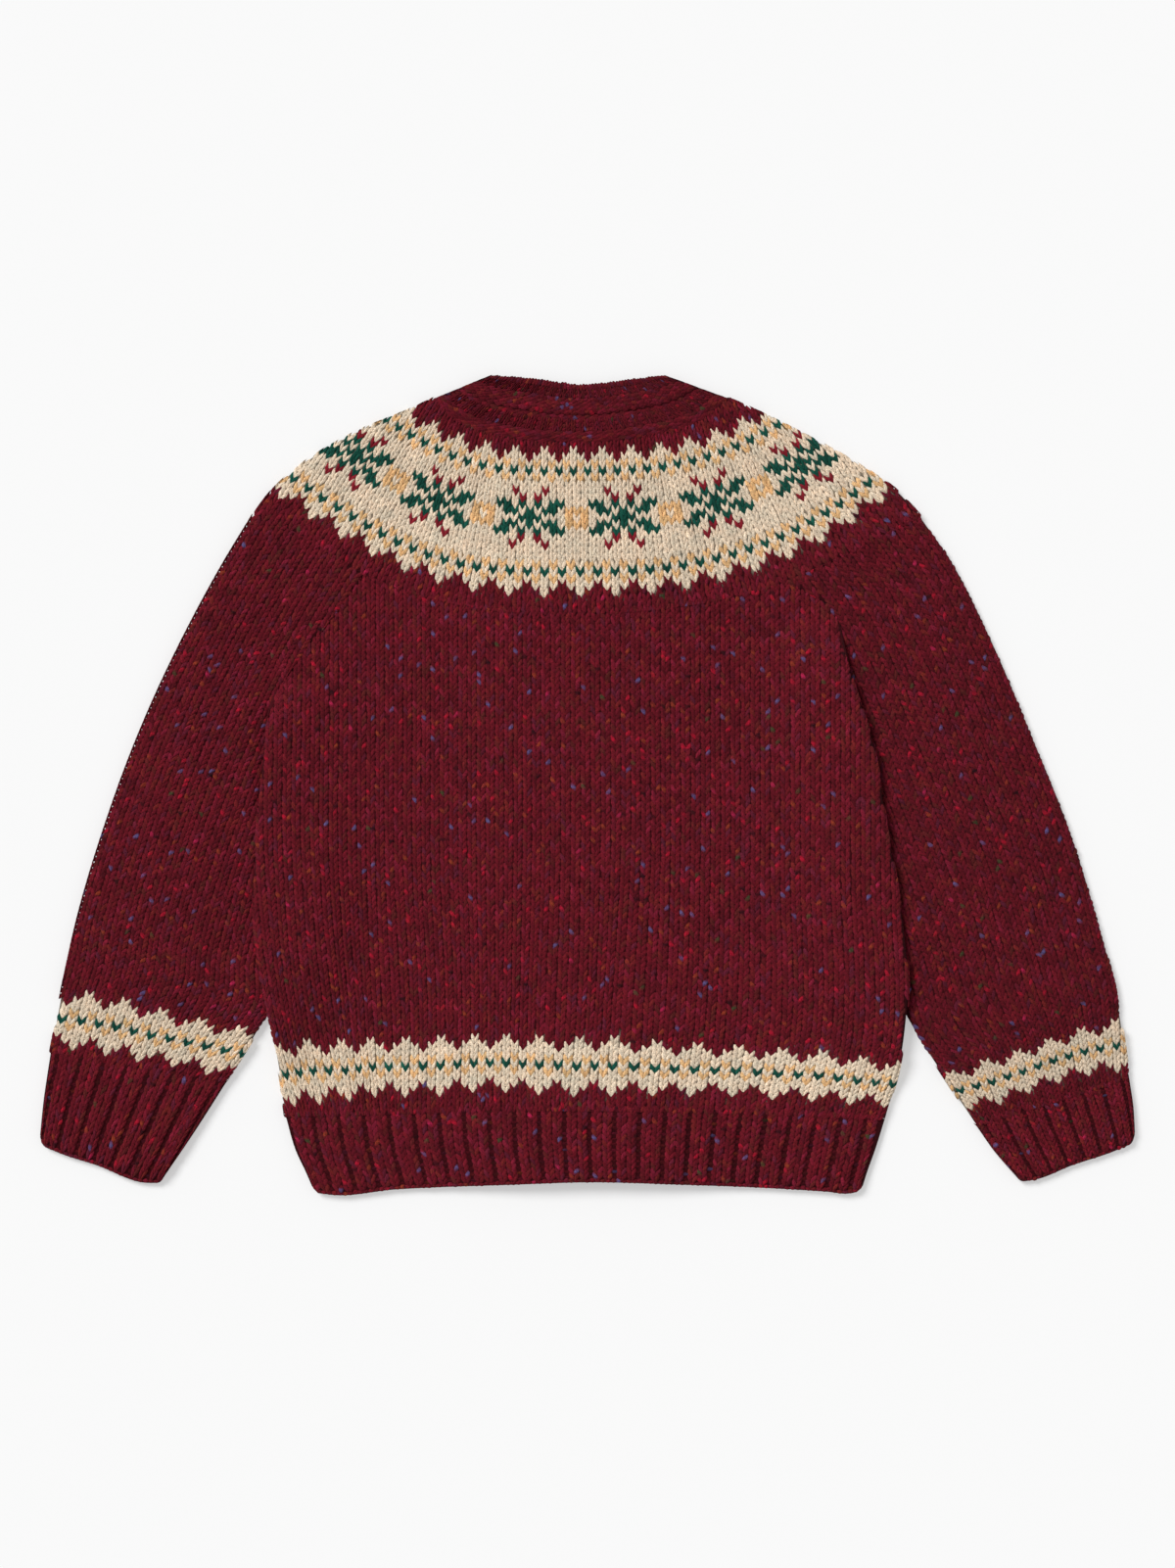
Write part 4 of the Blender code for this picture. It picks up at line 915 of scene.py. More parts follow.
def both_layers(kind, side, number):
    """The knitting of a tube's layer that lies up and of the one below."""
    name, number = kind + "_" + side, number + 2 * (side == "right")
    return Knitting(name, number), Knitting(name + "_under", number + 1, True)


def yarn_of(pieces, material):
    return [knitting.build(wool(material)) for knitting in pieces]


def stitch_grid(wales, courses, place, outline, spare=1.3):
    """Whole-number wales and courses whose middle is inside an outline or just past it."""
    u, v = (a.ravel().astype(float) for a in np.meshgrid(np.arange(*wales), np.arange(*courses)))
    at = place(u, v)
    keep = inside(outline, at[:, 0], at[:, 1])
    keep |= closest(closed(outline, 1.5), at[:, 0], at[:, 1])[0] < spare
    return u[keep], v[keep]


def kept_within(outline, spare=1.1):
    """A function that brings points that pass an outline back to just past it."""
    line = closed(outline, 1.0)

    def pull(plan):
        out = ~inside(outline, plan[:, 0], plan[:, 1])
        x, y = plan[out, 0], plan[out, 1]
        gap, a, b, _ = closest(line, x, y)
        share = np.minimum(1.0, spare / np.maximum(gap, 1e-6))
        plan = plan.copy()
        plan[out, 0] = a + (x - a) * share
        plan[out, 1] = b + (y - b) * share
        return plan

    return pull


def charted(chart, column, row):
    """Letter numbers for stitches on a chart; burgundy off its top and bottom."""
    codes = np.array([[LETTERS.index(c) for c in line] for line in chart])
    column = np.round(column).astype(int) % codes.shape[1]
    row = np.round(row).astype(int)
    on = (row >= 0) & (row < len(codes))
    return np.where(on, codes[np.clip(row, 0, len(codes) - 1), column], 0)


# ---------------------------------------------------------------- meshes and materials
def linear(code):
    """Linear colour from an sRGB hex code."""
    c = np.array([int(code[k:k + 2], 16) / 255.0 for k in (0, 2, 4)])
    return np.where(c <= 0.04045, c / 12.92, ((c + 0.055) / 1.055) ** 2.4)


def rgba(code):
    return (*(float(c) for c in linear(code)), 1.0)


DYES = np.array([linear(code) for code, _ in YARNS])


def mesh_object(name, points, quads, material):
    """A smooth-shaded mesh of quads from points in mm, linked and riding on the frame."""
    mesh = bpy.data.meshes.new(name)
    mesh.vertices.add(len(points))
    mesh.vertices.foreach_set("co", (points * MM).astype(np.float32).ravel())
    mesh.loops.add(quads.size)
    mesh.loops.foreach_set("vertex_index", quads.astype(np.int32).ravel())
    mesh.polygons.add(len(quads))
    mesh.polygons.foreach_set("loop_start", np.arange(0, quads.size, 4, dtype=np.int32))
    mesh.polygons.foreach_set("use_smooth", np.ones(len(quads), bool))
    mesh.update(calc_edges=True)
    mesh.materials.append(material)
    obj = bpy.data.objects.new(name, mesh)
    bpy.context.scene.collection.objects.link(obj)
    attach(obj, "root")
    return obj


def paint(obj, colours):
    """Stores for each vertex a linear colour, the yarn's dye with its painted shade, as an
    attribute.
    """
    dye = obj.data.attributes.new("dye", "FLOAT_COLOR", "POINT")
    colours = np.column_stack([colours, np.ones(len(colours))])
    dye.data.foreach_set("color", colours.astype(np.float32).ravel())


def add_node(tree, kind, inputs=(), **settings):
    """One shader node, with its settings, socket values and links from other nodes' outputs."""
    made = tree.nodes.new(kind)
    for key, value in settings.items():
        setattr(made, key, value)
    for socket, value in dict(inputs).items():
        if isinstance(value, bpy.types.NodeSocket):
            tree.links.new(value, made.inputs[socket])
        else:
            made.inputs[socket].default_value = value
    return made


def new_material(name):
    """A material with an empty node tree but for its output."""
    made = bpy.data.materials.new(name)
    made.use_nodes = True
    made.node_tree.nodes.clear()
    return made, made.node_tree


def finish_material(tree, shader):
    add_node(tree, "ShaderNodeOutputMaterial", {"Surface": shader.outputs[0]})


def add_noise(tree, **values):
    """Noise on Object coordinates."""
    where = add_node(tree, "ShaderNodeTexCoord").outputs["Object"]
    return add_node(tree, "ShaderNodeTexNoise", {"Vector": where, **values}).outputs["Fac"]


def wool_material(name, options, plain=False):
    """Two-ply tweed wool: the strand's own dye with its painted shade, broken up by heather, with a
    soft fuzzy sheen.

    The heather is noise on Object coordinates; the twist is a slanting wave on the strand's map.
    """
    made, tree = new_material(name)
    dye = add_node(tree, "ShaderNodeAttribute", attribute_name="dye")
    heather = add_noise(tree, Scale=1400.0, Detail=2.0)
    level = add_node(tree, "ShaderNodeMapRange",
                     {"Value": heather, "From Min": 0.3, "From Max": 0.7,
                      "To Min": 1.0 - options.heather, "To Max": 1.0 + options.heather})
    drift = add_noise(tree, Scale=130.0, Detail=3.0, Roughness=0.7)
    tint = add_node(tree, "ShaderNodeMix", {"Factor": drift, "A": (0.72, 0.86, 0.92, 1.0),
                                            "B": (1.30, 1.16, 1.08, 1.0)}, data_type="RGBA")
    toned = add_node(tree, "ShaderNodeVectorMath",
                     {0: dye.outputs["Color"], 1: tint.outputs["Result"]}, operation="MULTIPLY")
    shade = add_node(tree, "ShaderNodeVectorMath",
                     {0: toned.outputs["Vector"], "Scale": level.outputs["Result"]},
                     operation="SCALE")
    inputs = {"Base Color": shade.outputs["Vector"], "Roughness": 0.95, "Specular IOR Level": 0.06,
              "Sheen Weight": options.sheen, "Sheen Roughness": 0.6}
    if not plain:
        strand = add_node(tree, "ShaderNodeUVMap", uv_map="strand")
        twist = add_node(tree, "ShaderNodeTexWave",
                         {"Vector": strand.outputs["UV"], "Scale": 0.9, "Distortion": 0.6},
                         wave_type="BANDS", bands_direction="DIAGONAL")
        bump = add_node(tree, "ShaderNodeBump",
                        {"Height": twist.outputs["Fac"], "Strength": options.twist,
                         "Distance": 0.0003})
        fine = add_node(tree, "ShaderNodeBump",
                        {"Height": heather, "Strength": 0.4, "Distance": 0.0002,
                         "Normal": bump.outputs["Normal"]})
        inputs["Normal"] = fine.outputs["Normal"]
    shader = add_node(tree, "ShaderNodeBsdfPrincipled", inputs)
    finish_material(tree, shader)
    return made


def quads_of(*corners):
    """Quads from four equal arrays of vertex numbers."""
    return np.stack(corners, axis=-1).reshape(-1, 4)


def closed_sheet(outer, inner, ring=False):
    """Points and quads of a thin cloth between two equal grids (rows, columns, 3).

    outer is the face that is seen; with ring the columns close on themselves.
    """
    rows, columns = outer.shape[:2]
    near = np.arange(rows * columns).reshape(rows, columns)
    if ring:
        near = np.concatenate([near, near[:, :1]], axis=1)
    far = near + rows * columns
    faces = [quads_of(near[1:, :-1], near[1:, 1:], near[:-1, 1:], near[:-1, :-1]),
             quads_of(far[:-1, :-1], far[:-1, 1:], far[1:, 1:], far[1:, :-1]),
             quads_of(near[0, :-1], near[0, 1:], far[0, 1:], far[0, :-1]),
             quads_of(far[-1, :-1], far[-1, 1:], near[-1, 1:], near[-1, :-1])]
    if not ring:
        faces += [quads_of(near[1:, 0], near[:-1, 0], far[:-1, 0], far[1:, 0]),
                  quads_of(near[:-1, -1], near[1:, -1], far[1:, -1], far[:-1, -1])]
    return np.vstack([outer.reshape(-1, 3), inner.reshape(-1, 3)]), np.vstack(faces)


def face_outward(mesh):
    """Turns all of a closed mesh's faces outward."""
    form = bmesh.new()
    form.from_mesh(mesh)
    bmesh.ops.recalc_face_normals(form, faces=form.faces)
    form.to_mesh(mesh)
    form.free()


def cloth(knitting, node, outer, inner, ring=False):
    """The cloth behind the yarn, in place of a solid, coloured as the stitches nearest to it but
    darker, as painted shade.
    """
    points, faces = closed_sheet(outer, inner, ring)
    obj = mesh_object(node + "_cloth", points, faces, wool("cloth_behind", True))
    face_outward(obj.data)
    paint(obj, knitting.painted_shade_for(points[:, :2]))
    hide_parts(node)
    return obj


def flat_cloth(knitting, plan, z, floor):
    """The cloth behind a flat piece, whose solid has its outside at z and its wall over a floor."""
    if knitting.low:
        outer, inner = np.minimum(z + SKIN, floor + WALL - LEAST_CLOTH), floor + WALL
    else:
        outer, inner = np.maximum(z - SKIN, floor + LEAST_CLOTH), floor
    return cloth(knitting, knitting.name, raised(plan, outer), raised(plan, inner))


def round_fold(steps):
    """Round a fold: how far in from it the cloth's outside and its inside lie, and their rise."""
    angle = np.radians(np.linspace(0.0, 90.0, steps))
    inward = 1 - np.cos(angle)
    return (FOLD_START + (FOLD_REACH - FOLD_START) * inward, WALL + LINING_ROUND * inward,
            np.sin(angle))


def raised(plan, height):
    """Points (…, 3) from plan points (…, 2) and heights."""
    return np.concatenate([plan, np.broadcast_to(height, plan.shape[:-1])[..., None]], axis=-1)


# ---------------------------------------------------------------- settings
class CardiganKnit(bpy.types.PropertyGroup):
    """Settings of the yarn."""

    proud: bpy.props.FloatProperty(
        name="Proud", description="How far the strands stand over the solid's face, in mm",
        default=0.25, min=0.0, max=0.6)
    heather: bpy.props.FloatProperty(
        name="Heather", description="Share by which the wool's colour is broken up",
        default=0.42, min=0.0, max=1.0, subtype="FACTOR")
    sheen: bpy.props.FloatProperty(
        name="Fuzz", description="Weight of the soft sheen of loose fibres",
        default=0.03, min=0.0, max=1.0, subtype="FACTOR")
    twist: bpy.props.FloatProperty(
        name="Twist", description="Strength of the two-ply twist",
        default=0.5, min=0.0, max=1.0, subtype="FACTOR")
    seed: bpy.props.IntProperty(
        name="Seed", description="Start of the random numbers", default=11, min=0)


class CardiganStage(bpy.types.PropertyGroup):
    """Settings of the table, camera and lights."""

    floor_size: bpy.props.FloatProperty(
        name="Table", description="Side of the table", default=8.0, unit="LENGTH")
    camera_height: bpy.props.FloatProperty(
        name="Camera height", description="Height of the camera over the table",
        default=3.0, unit="LENGTH")
    focal: bpy.props.FloatProperty(
        name="Focal length", description="Focal length of the camera in mm", default=117.0)
    sky: bpy.props.FloatProperty(
        name="Sky", description="Strength of the even light", default=0.40, min=0.0)
    glow: bpy.props.FloatProperty(
        name="Table glow", description="Light that the table gives off", default=0.42, min=0.0)
    key: bpy.props.FloatProperty(
        name="Key", description="Strength of the soft light from the upper left",
        default=2.75, min=0.0)


def knit_settings():
    return bpy.context.scene.cardigan_knit


def generator(piece):
    """Random numbers that depend only on the seed and the piece's number."""
    return np.random.default_rng(knit_settings().seed * 100 + piece)


def wool(name, plain=False):
    """The material of that name, made at its first use."""
    return bpy.data.materials.get(name) or wool_material(name, knit_settings(), plain)


# ---------------------------------------------------------------- body
def body_plan(rows, shares, left_edge=None, right_edge=None):
    """Rows of points from the yoke seam to the hem rib, from side to side or to a band's edge.

    Each row joins its two side points. The yoke seam's sag and the hem line's bow are carried
    into the rows in shares that fade with the height.
    """
    seam = piece_of(SEAM_LINE, RAGLAN_TOP_LEFT, RAGLAN_TOP_RIGHT)
    hem = dense(HEM_TOP)

    def above_chord(samples, share):
        chord = samples[0] + (samples[-1] - samples[0]) * share[..., None]
        return up_at(samples, chord[..., 0]) - chord[..., 1]

    down = rows[:, None]
    left_up = seam[0, 1] + (hem[0, 1] - seam[0, 1]) * down
    right_up = seam[-1, 1] + (hem[-1, 1] - seam[-1, 1]) * down
    left, right = body_side("left", left_up), body_side("right", right_up)
    start = left if left_edge is None else left_edge
    end = right if right_edge is None else right_edge
    x = start + (end - start) * shares
    share = (x - left) / (right - left)
    up = left_up + (right_up - left_up) * share
    up = up + (1.0 - down) * above_chord(seam, share) + down * above_chord(hem, share)
    return np.stack([x, up], axis=-1)


def down_rows(count):
    """Shares of the way down a piece, close together at both ends."""
    return np.concatenate([[0.0, 0.004], np.linspace(0.02, 0.985, count), [1.0]])


def edge_shares(count, length, near=(0.0, 1.2, 3.0, 6.0), start=True, end=True):
    """Column shares over a length: a few close to its rolled edges and even steps between."""
    near = np.array(near) / length
    parts = [near[:-1] if start else np.zeros(0),
             np.linspace(near[-1] if start else 0.0, 1.0 - near[-1] if end else 1.0, count),
             1.0 - near[-2::-1] if end else np.zeros(0)]
    return np.concatenate(parts)


def body_outline():
    seam = piece_of(SEAM_LINE, RAGLAN_TOP_LEFT, RAGLAN_TOP_RIGHT)
    return np.vstack([seam, SIDE["right"], dense(HEM_TOP)[::-1], SIDE["left"][::-1]])


def front_outline(side):
    """One front: the body's outline cut off at its band."""
    x, y = body_outline().T
    x = np.minimum(x, -BAND_EDGE) if side == "left" else np.maximum(x, BAND_EDGE)
    return np.column_stack([x, y])


def cut_line(line, side):
    """The part of a line that runs to the right, that belongs to one front."""
    if side == "left":
        return cut_at(line, -BAND_EDGE, True)[4:]
    return cut_at(line, BAND_EDGE, False)[:-4]


def border(wale, course):
    """The patterned band above hem and cuffs; its peaks stand on every fourth wale."""
    return charted(BORDER_CHART, wale, BAND_MIDDLE - course)


def knit_body(low_side=None):
    """The back, or with low_side that front, whose outside lies below."""
    rows = down_rows(46)
    if low_side:
        left = low_side == "left"
        name, number, face = "front_" + low_side, 3 - left, front_face
        outline = front_outline(low_side)
        shares = edge_shares(26, 160.0, start=left, end=not left)
        plan = body_plan(rows, shares, None if left else BAND_EDGE, -BAND_EDGE if left else None)
        floor = low_floor(plan[..., 0], plan[..., 1])
        seams = [cut_line(dense(HEM_TOP), low_side)]
    else:
        name, number, outline, face = "back", 1, body_outline(), back_face
        plan = body_plan(rows, edge_shares(54, 340.0))
        floor = high_floor(plan[..., 0], plan[..., 1])
        seams = [np.vstack([CORNER[side], SIDE[side][SIDE[side][:, 1] > UNDERARM[side][1] - 32.0]])
                 for side in ("left", "right")] + [dense(HEM_TOP)[4:-4]]
    knitting = Knitting(name, number, low_side is not None)
    u, v = stitch_grid(*BODY_GRID, body_place, outline)
    knitting.add_stocking(u, v, border(u - FIRST_WALE - 4.0, v), body_place, face, outline)
    for line in seams:
        knitting.add_seam(line, face)
    shell = flat_cloth(knitting, plan, face(plan[..., 0], plan[..., 1]), floor)
    return shell, yarn_of([knitting], "yarn_stocking")


# ---------------------------------------------------------------- ribs
class RibPiece:
    """A ribbed piece: a Coons patch between four lines, its grooves at whole numbers of ribs.

    rib counts grooves across and course counts up from the cast-off edge.
    """

    def __init__(self, top, end, left, right, margin, ribs, first, courses):
        self.lines = (top, end, left, right)
        self.total = length_of(top)
        self.margin, self.ribs, self.first, self.courses = margin / self.total, ribs, first, courses

    def shares(self, rib, course):
        share = (3.0 * rib + self.first) / (3.0 * self.ribs)
        across = self.margin + (1.0 - 2.0 * self.margin) * share
        return across, 1.0 - course / self.courses

    def place(self, rib, course):
        return patch_past(self.lines, *self.shares(rib, course))

    def grid(self, across, down):
        return patch(*self.lines, across[None, :], down[:, None])

    def profile(self, down):
        return (np.interp(down, RIB_PROFILE[:, 0], column) for column in RIB_PROFILE.T[1:])

    def rib_at(self, across):
        share = (across - self.margin) / (1.0 - 2.0 * self.margin)
        return (share * 3.0 * self.ribs - self.first) / 3.0

    def knit(self, knitting, face, first, last):
        """Two knit columns between grooves and a sunken bar in each groove, darkened as painted
        shade.
        """
        course = np.arange(1.0, self.courses + 0.6, 1.0)
        for across, form, wide, lift, dim in (
                (-RIB_ASIDE, knitting.strand, RIB_WIDE, 0.0, 1.0),
                (RIB_ASIDE, knitting.strand, RIB_WIDE, 0.0, 1.0),
                (0.0, BAR[HIDDEN_ROWS], RIB_BAR, -BAR_SUNK, GROOVE_PAINTED_SHADE)):
            ribs = np.arange(first, last + 1.0) + across
            rib, row = (a.ravel() for a in np.meshgrid(ribs, course))
            s, _ = self.shares(rib, row)
            on = (s > 0.003) & (s < 0.997)
            knitting.add(form, rib[on], row[on], 0, self.place, face, wide=wide,
                         both=across != 0, lift=lift, dim=dim)


def hem_piece():
    top = dense(HEM_TOP) - (0.0, SEAM)
    left, right = dense(HEM_SIDE_LEFT), dense(HEM_SIDE_RIGHT)
    left[0, 1] -= SEAM
    right[0, 1] -= SEAM
    return RibPiece(top, dense(HEM_END), left, right, 6.0, HEM_RIBS, 2.0, 13.0)


def knit_hem(low_side=None):
    """The back's hem rib, or with low_side that front's, whose outside lies below."""
    piece = hem_piece()
    low = low_side is not None
    # node, number, first and last rib and the shares of the width between which the piece lies
    name, number, first, last, start, end = {
        None: ("hem_rib_back", 5, -1, 23, 0.0, 1.0),
        "left": ("hem_rib_front_left", 6, -1, 10, 0.0, 0.5 - BAND_EDGE / piece.total),
        "right": ("hem_rib_front_right", 7, 12, 23, 0.5 + BAND_EDGE / piece.total, 1.0),
    }[low_side]
    knitting = Knitting(name, number, low)

    def height(x, y, across, down):
        shown, wall = piece.profile(down)
        side = round_off(np.minimum(across, 1.0 - across) * piece.total, *BODY_EDGE)
        wave = rib_depth_at(piece.rib_at(across), RIB_DEPTH) * shown
        if low:
            return low_floor(x, y) + WALL * (1.0 - side * wall) - wave * LOW_RIB
        return high_floor(x, y) + WALL * side * wall + wave

    def face(x, y, rib, course):
        across, down = piece.shares(rib, course)
        return height(x, y, np.clip(across, 0, 1), np.clip(down, 0, 1))

    piece.knit(knitting, face, first, last)
    if not low:
        knitting.add_chain(offset(piece.lines[1], CHAIN_IN),
                           lambda x, y: high_floor(x, y) + WALL * CHAIN_HEM)
    columns = 60 if low else 6 * HEM_RIBS
    width = end - start
    across = start + width * edge_shares(columns, piece.total * width, (0.0, 1.0, 3.0, 6.0))
    plan = piece.grid(across, RIB_ROWS)
    x, y = plan[..., 0], plan[..., 1]
    z = height(x, y, across[None, :], RIB_ROWS[:, None])
    shell = flat_cloth(knitting, plan, z, low_floor(x, y) if low else high_floor(x, y))
    return shell, yarn_of([knitting], "yarn_rib")


# ---------------------------------------------------------------- sleeves
def sleeve_lines(side):
    """Yoke seam from the fold to the raglan, the raglan and the inner edge, clear of the body."""
    if side == "left":
        seam = piece_of(SEAM_LINE, 0, RAGLAN_TOP_LEFT)
    else:
        seam = piece_of(SEAM_LINE, RAGLAN_TOP_RIGHT, len(YOKE_SEAM) - 1)[::-1]
    clear = np.array([SIGN[side] * SLEEVE_CLEAR, 0.0])
    return seam, np.array([CORNER[side], UNDERARM[side]]) + clear, INNER[side] + clear


def sleeve_outline(side):
    seam, raglan, inner = sleeve_lines(side)
    return np.vstack([seam, raglan, inner, OUTER[side][::-1]])


def sleeve_rows(side, fraction, near, columns):
    """Plan points of one layer, from the outer fold to the inner edge."""
    seam, raglan, inner = sleeve_lines(side)
    upper = length_of(raglan) / (length_of(raglan) + length_of(inner))
    inner_edge = np.where((fraction < upper)[:, None], along(raglan, fraction / upper),
                          along(inner, (fraction - upper) / (1.0 - upper)))
    outer_edge = along(OUTER[side], fraction)
    width = np.linalg.norm(inner_edge - outer_edge, axis=1)[:, None]
    start = near / width
    end = 1.0 - np.array([[6.0, 3.0, 1.2, 0.0]]) / width
    middle = np.linspace(0.0, 1.0, columns)[1:-1]
    s = np.concatenate([start, start[:, -1:] + (end[:, :1] - start[:, -1:]) * middle, end], axis=1)
    straight = outer_edge[:, None] * (1 - s[..., None]) + inner_edge[:, None] * s[..., None]
    chord = outer_edge[0] * (1 - s[..., None]) + inner_edge[0] * s[..., None]
    bend = along(seam, s) - chord
    return straight + bend * ((1 - fraction) ** 4)[:, None, None]


def knit_sleeve(side):
    """A sleeve: stitches on the layer that lies up and on the one below, and one folded cloth."""
    outline, place = sleeve_outline(side), sleeve_place(side)
    hem_end = np.array([HEM_SIDE_LEFT, HEM_SIDE_RIGHT][side == "right"][-1:])
    body = evenly(np.vstack([SIDE[side], hem_end]), 2.0)
    pieces = both_layers("sleeve", side, 10)
    for knitting in pieces:
        face = sleeve_face(side, not knitting.low)
        u, v = stitch_grid(*SLEEVE_GRID, place, outline)
        if not knitting.low:
            x, y = place(u, v).T
            under = (SIGN[side] * (x - body_side(side, y)) < 0) & (y < UNDERARM[side][1])
            seen = ~(under & (closest(body, x, y)[0] > HIDDEN))
            u, v = u[seen], v[seen]
        # The sleeve's stitches are darkened by painted shade, the right sleeve more.
        knitting.add_stocking(u, v, border(u, v), place, face, outline, SLEEVE_PAINTED_SHADE[side])
        knitting.add_seam(along(cuff_piece(side).lines[0], np.linspace(0.03, 0.97, 20)), face)
    near_out, near_in, rise = round_fold(7)
    fraction = down_rows(60)
    outside = sleeve_rows(side, fraction, near_out, 24)
    lining = sleeve_rows(side, fraction, near_in, 24)
    up = np.ones(outside.shape[1])
    up[:len(rise)] = rise
    middle, gap, least = FLAT_TUBE / 2, PLY_GAP / 2, PLY_GAP / 2 + LEAST_CLOTH
    x, y = outside[..., 0], outside[..., 1]
    from_fold = closest(evenly(OUTER[side], 2.0), x, y)[0]
    high = (sleeve_face(side, True)(x, y) - middle) / (
        np.maximum(round_off(from_fold, FOLD_REACH, 0.0), 0.05))
    high = np.maximum(high - SKIN, least)
    high[:, 0] = high[:, 1]
    high = np.minimum(high, gap + WALL + SLEEVE_PUFF)
    low = np.minimum(high - creased("sleeve_" + side, x, y), gap + WALL - SKIN)
    puff = np.maximum(high - low, 0.0)
    low = np.maximum(low + creased("sleeve_" + side + "_under", x, y), least)
    outer, inner = (
        np.concatenate([raised(plan, middle - below * up)[:, ::-1],
                        raised(plan, middle + above * up)[:, 1:]], axis=1)
        for plan, below, above in (
            (outside, low, high), (lining, gap * np.ones(x.shape), gap + puff)))
    return cloth(pieces[0], "sleeve_" + side, outer, inner), yarn_of(pieces, "yarn_stocking")


# ---------------------------------------------------------------- cuffs
def cuff_piece(side):
    outer, inner, end = map(dense, {
        "left": (CUFF_OUTER_LEFT, CUFF_INNER_LEFT, CUFF_END_LEFT),
        "right": (CUFF_OUTER_RIGHT, CUFF_INNER_RIGHT, CUFF_END_RIGHT)}[side])
    down = outer[-1] - outer[0]
    top = np.array([outer[0], inner[0]]) + down / np.linalg.norm(down) * SEAM
    outer[0], inner[0] = top
    return RibPiece(top, end, outer, inner, FOLD_REACH, CUFF_RIBS, 3.0, 14.0)


def knit_cuff(side):
    """A flat ribbed tube, with its ribs on both layers."""
    piece = cuff_piece(side)
    middle, gap = FLAT_TUBE / 2, PLY_GAP / 2

    def height(across, down, high):
        shown, wall = piece.profile(down)
        up = round_off(np.minimum(across, 1.0 - across) * piece.total, FOLD_REACH, 0.0)
        half = (gap + WALL * wall) * up
        wave = rib_depth_at(piece.rib_at(across), RIB_DEPTH if high else LOW_CUFF) * shown * up
        return middle + (half + wave if high else -half - wave)

    pieces = both_layers("cuff", side, 20)
    for knitting in pieces:
        def face(x, y, rib, course, high=not knitting.low):
            across, down = piece.shares(rib, course)
            return height(np.clip(across, 0, 1), np.clip(down, 0, 1), high)

        piece.knit(knitting, face, -1, CUFF_RIBS)
        if not knitting.low:
            knitting.add_chain(offset(piece.lines[1], -SIGN[side] * CHAIN_IN)[6:-6],
                               lambda x, y: np.full(np.shape(x), middle + WALL * CHAIN_CUFF))
            knitting.add_chain(dense(CUFF_SEAMS[side]),
                               lambda x, y: np.full(np.shape(x), FLAT_TUBE - 0.1), 3.4, 0.1)
    near_out, near_in, rise = round_fold(6)
    columns = np.linspace(0.0, 1.0, 6 * CUFF_RIBS + 1)[1:-1]

    def layer(near):
        near = near / piece.total
        across = np.concatenate([near, near[-1] + (1 - 2 * near[-1]) * columns, 1 - near[::-1]])
        return across, piece.grid(across, RIB_ROWS)

    (across, plan), (_, lining) = layer(near_out), layer(near_in)
    up = np.concatenate([rise, np.ones(len(columns)), rise[::-1]])
    shown, wall = (a[:, None] for a in piece.profile(RIB_ROWS))
    half = (gap + np.maximum(WALL * wall - SKIN, LEAST_CLOTH)) * up
    wave = rib_depth_at(piece.rib_at(across), CUFF_CLOTH) * shown * up
    least = (gap + LEAST_CLOTH) * up
    outer, inner = (
        np.concatenate([raised(grid, high), raised(grid, low)[:, -2:0:-1]], axis=1)
        for grid, high, low in (
            (plan, np.maximum(middle + half + wave, middle + least),
             np.minimum(middle - half - wave * 0.5, middle - least)),
            (lining, middle + gap * up, middle - gap * up)))
    return cloth(pieces[0], "cuff_" + side, outer, inner, ring=True), yarn_of(pieces, "yarn_rib")


# ---------------------------------------------------------------- yoke and neckband
def strip_cloth(folds, parts, ups, relief=None):
    """Outer and inner grids of a strip folded at both shoulders, from band to band.

    parts gives for the left front, the back and the right front their lower line, their upper
    line and how many columns lie between the folds.
    """
    *nears, rise = round_fold(7)
    grids = []
    for near, wall in zip(nears, (WALL - SKIN, 0.0)):
        done = []
        for which, (lower, upper, count) in enumerate(parts):
            shares = []
            for line in (lower, upper):
                step = near / length_of(line)
                start = step if which != 0 else np.zeros(1)
                end = 1.0 - step[::-1] if which != 2 else np.ones(1)
                middle = np.linspace(start[-1], end[0], count + 2)[1:-1]
                shares.append(np.concatenate([start, middle, end]))
            low_line, high_line = along(lower, shares[0]), along(upper, shares[1])
            left = folds[which - 1] if which != 0 else np.array([low_line[0], high_line[0]])
            right = folds[which] if which != 2 else np.array([low_line[-1], high_line[-1]])
            left, right = along(left, ups), along(right, ups)
            plan = coons(shares[0][None, :, None], ups[:, None, None],
                         low_line[None], high_line[None], left[:, None], right[:, None],
                         (left[0], right[0], left[-1], right[-1]))
            x, y = plan[..., 0], plan[..., 1]
            low, high = low_floor(x, y), high_floor(x, y)
            middle = (low + WALL + high) / 2
            up = np.ones(plan.shape[1])
            if which != 0:
                up[:len(rise)] = rise
            if which != 2:
                up[-len(rise):] = rise[::-1]
            if which == 1:
                z = middle + (high - middle + wall) * up
                if wall and relief is not None:
                    z = z + relief(shares[0][None, :], ups[:, None]) * (up > 0.7)
            else:
                z = middle - (middle - low - WALL + wall) * up
            done.append(raised(plan, z))
        grids.append(np.concatenate([done[0][:, :-1], done[1], done[2][:, 1:]], axis=1))
    return grids


def yoke_lines():
    seam = offset(SEAM_LINE, SEAM)
    folds = (dense(YOKE_FOLD_LEFT), dense(YOKE_FOLD_RIGHT))
    folds[0][0], folds[1][0] = seam[0], seam[-1]
    return seam, folds


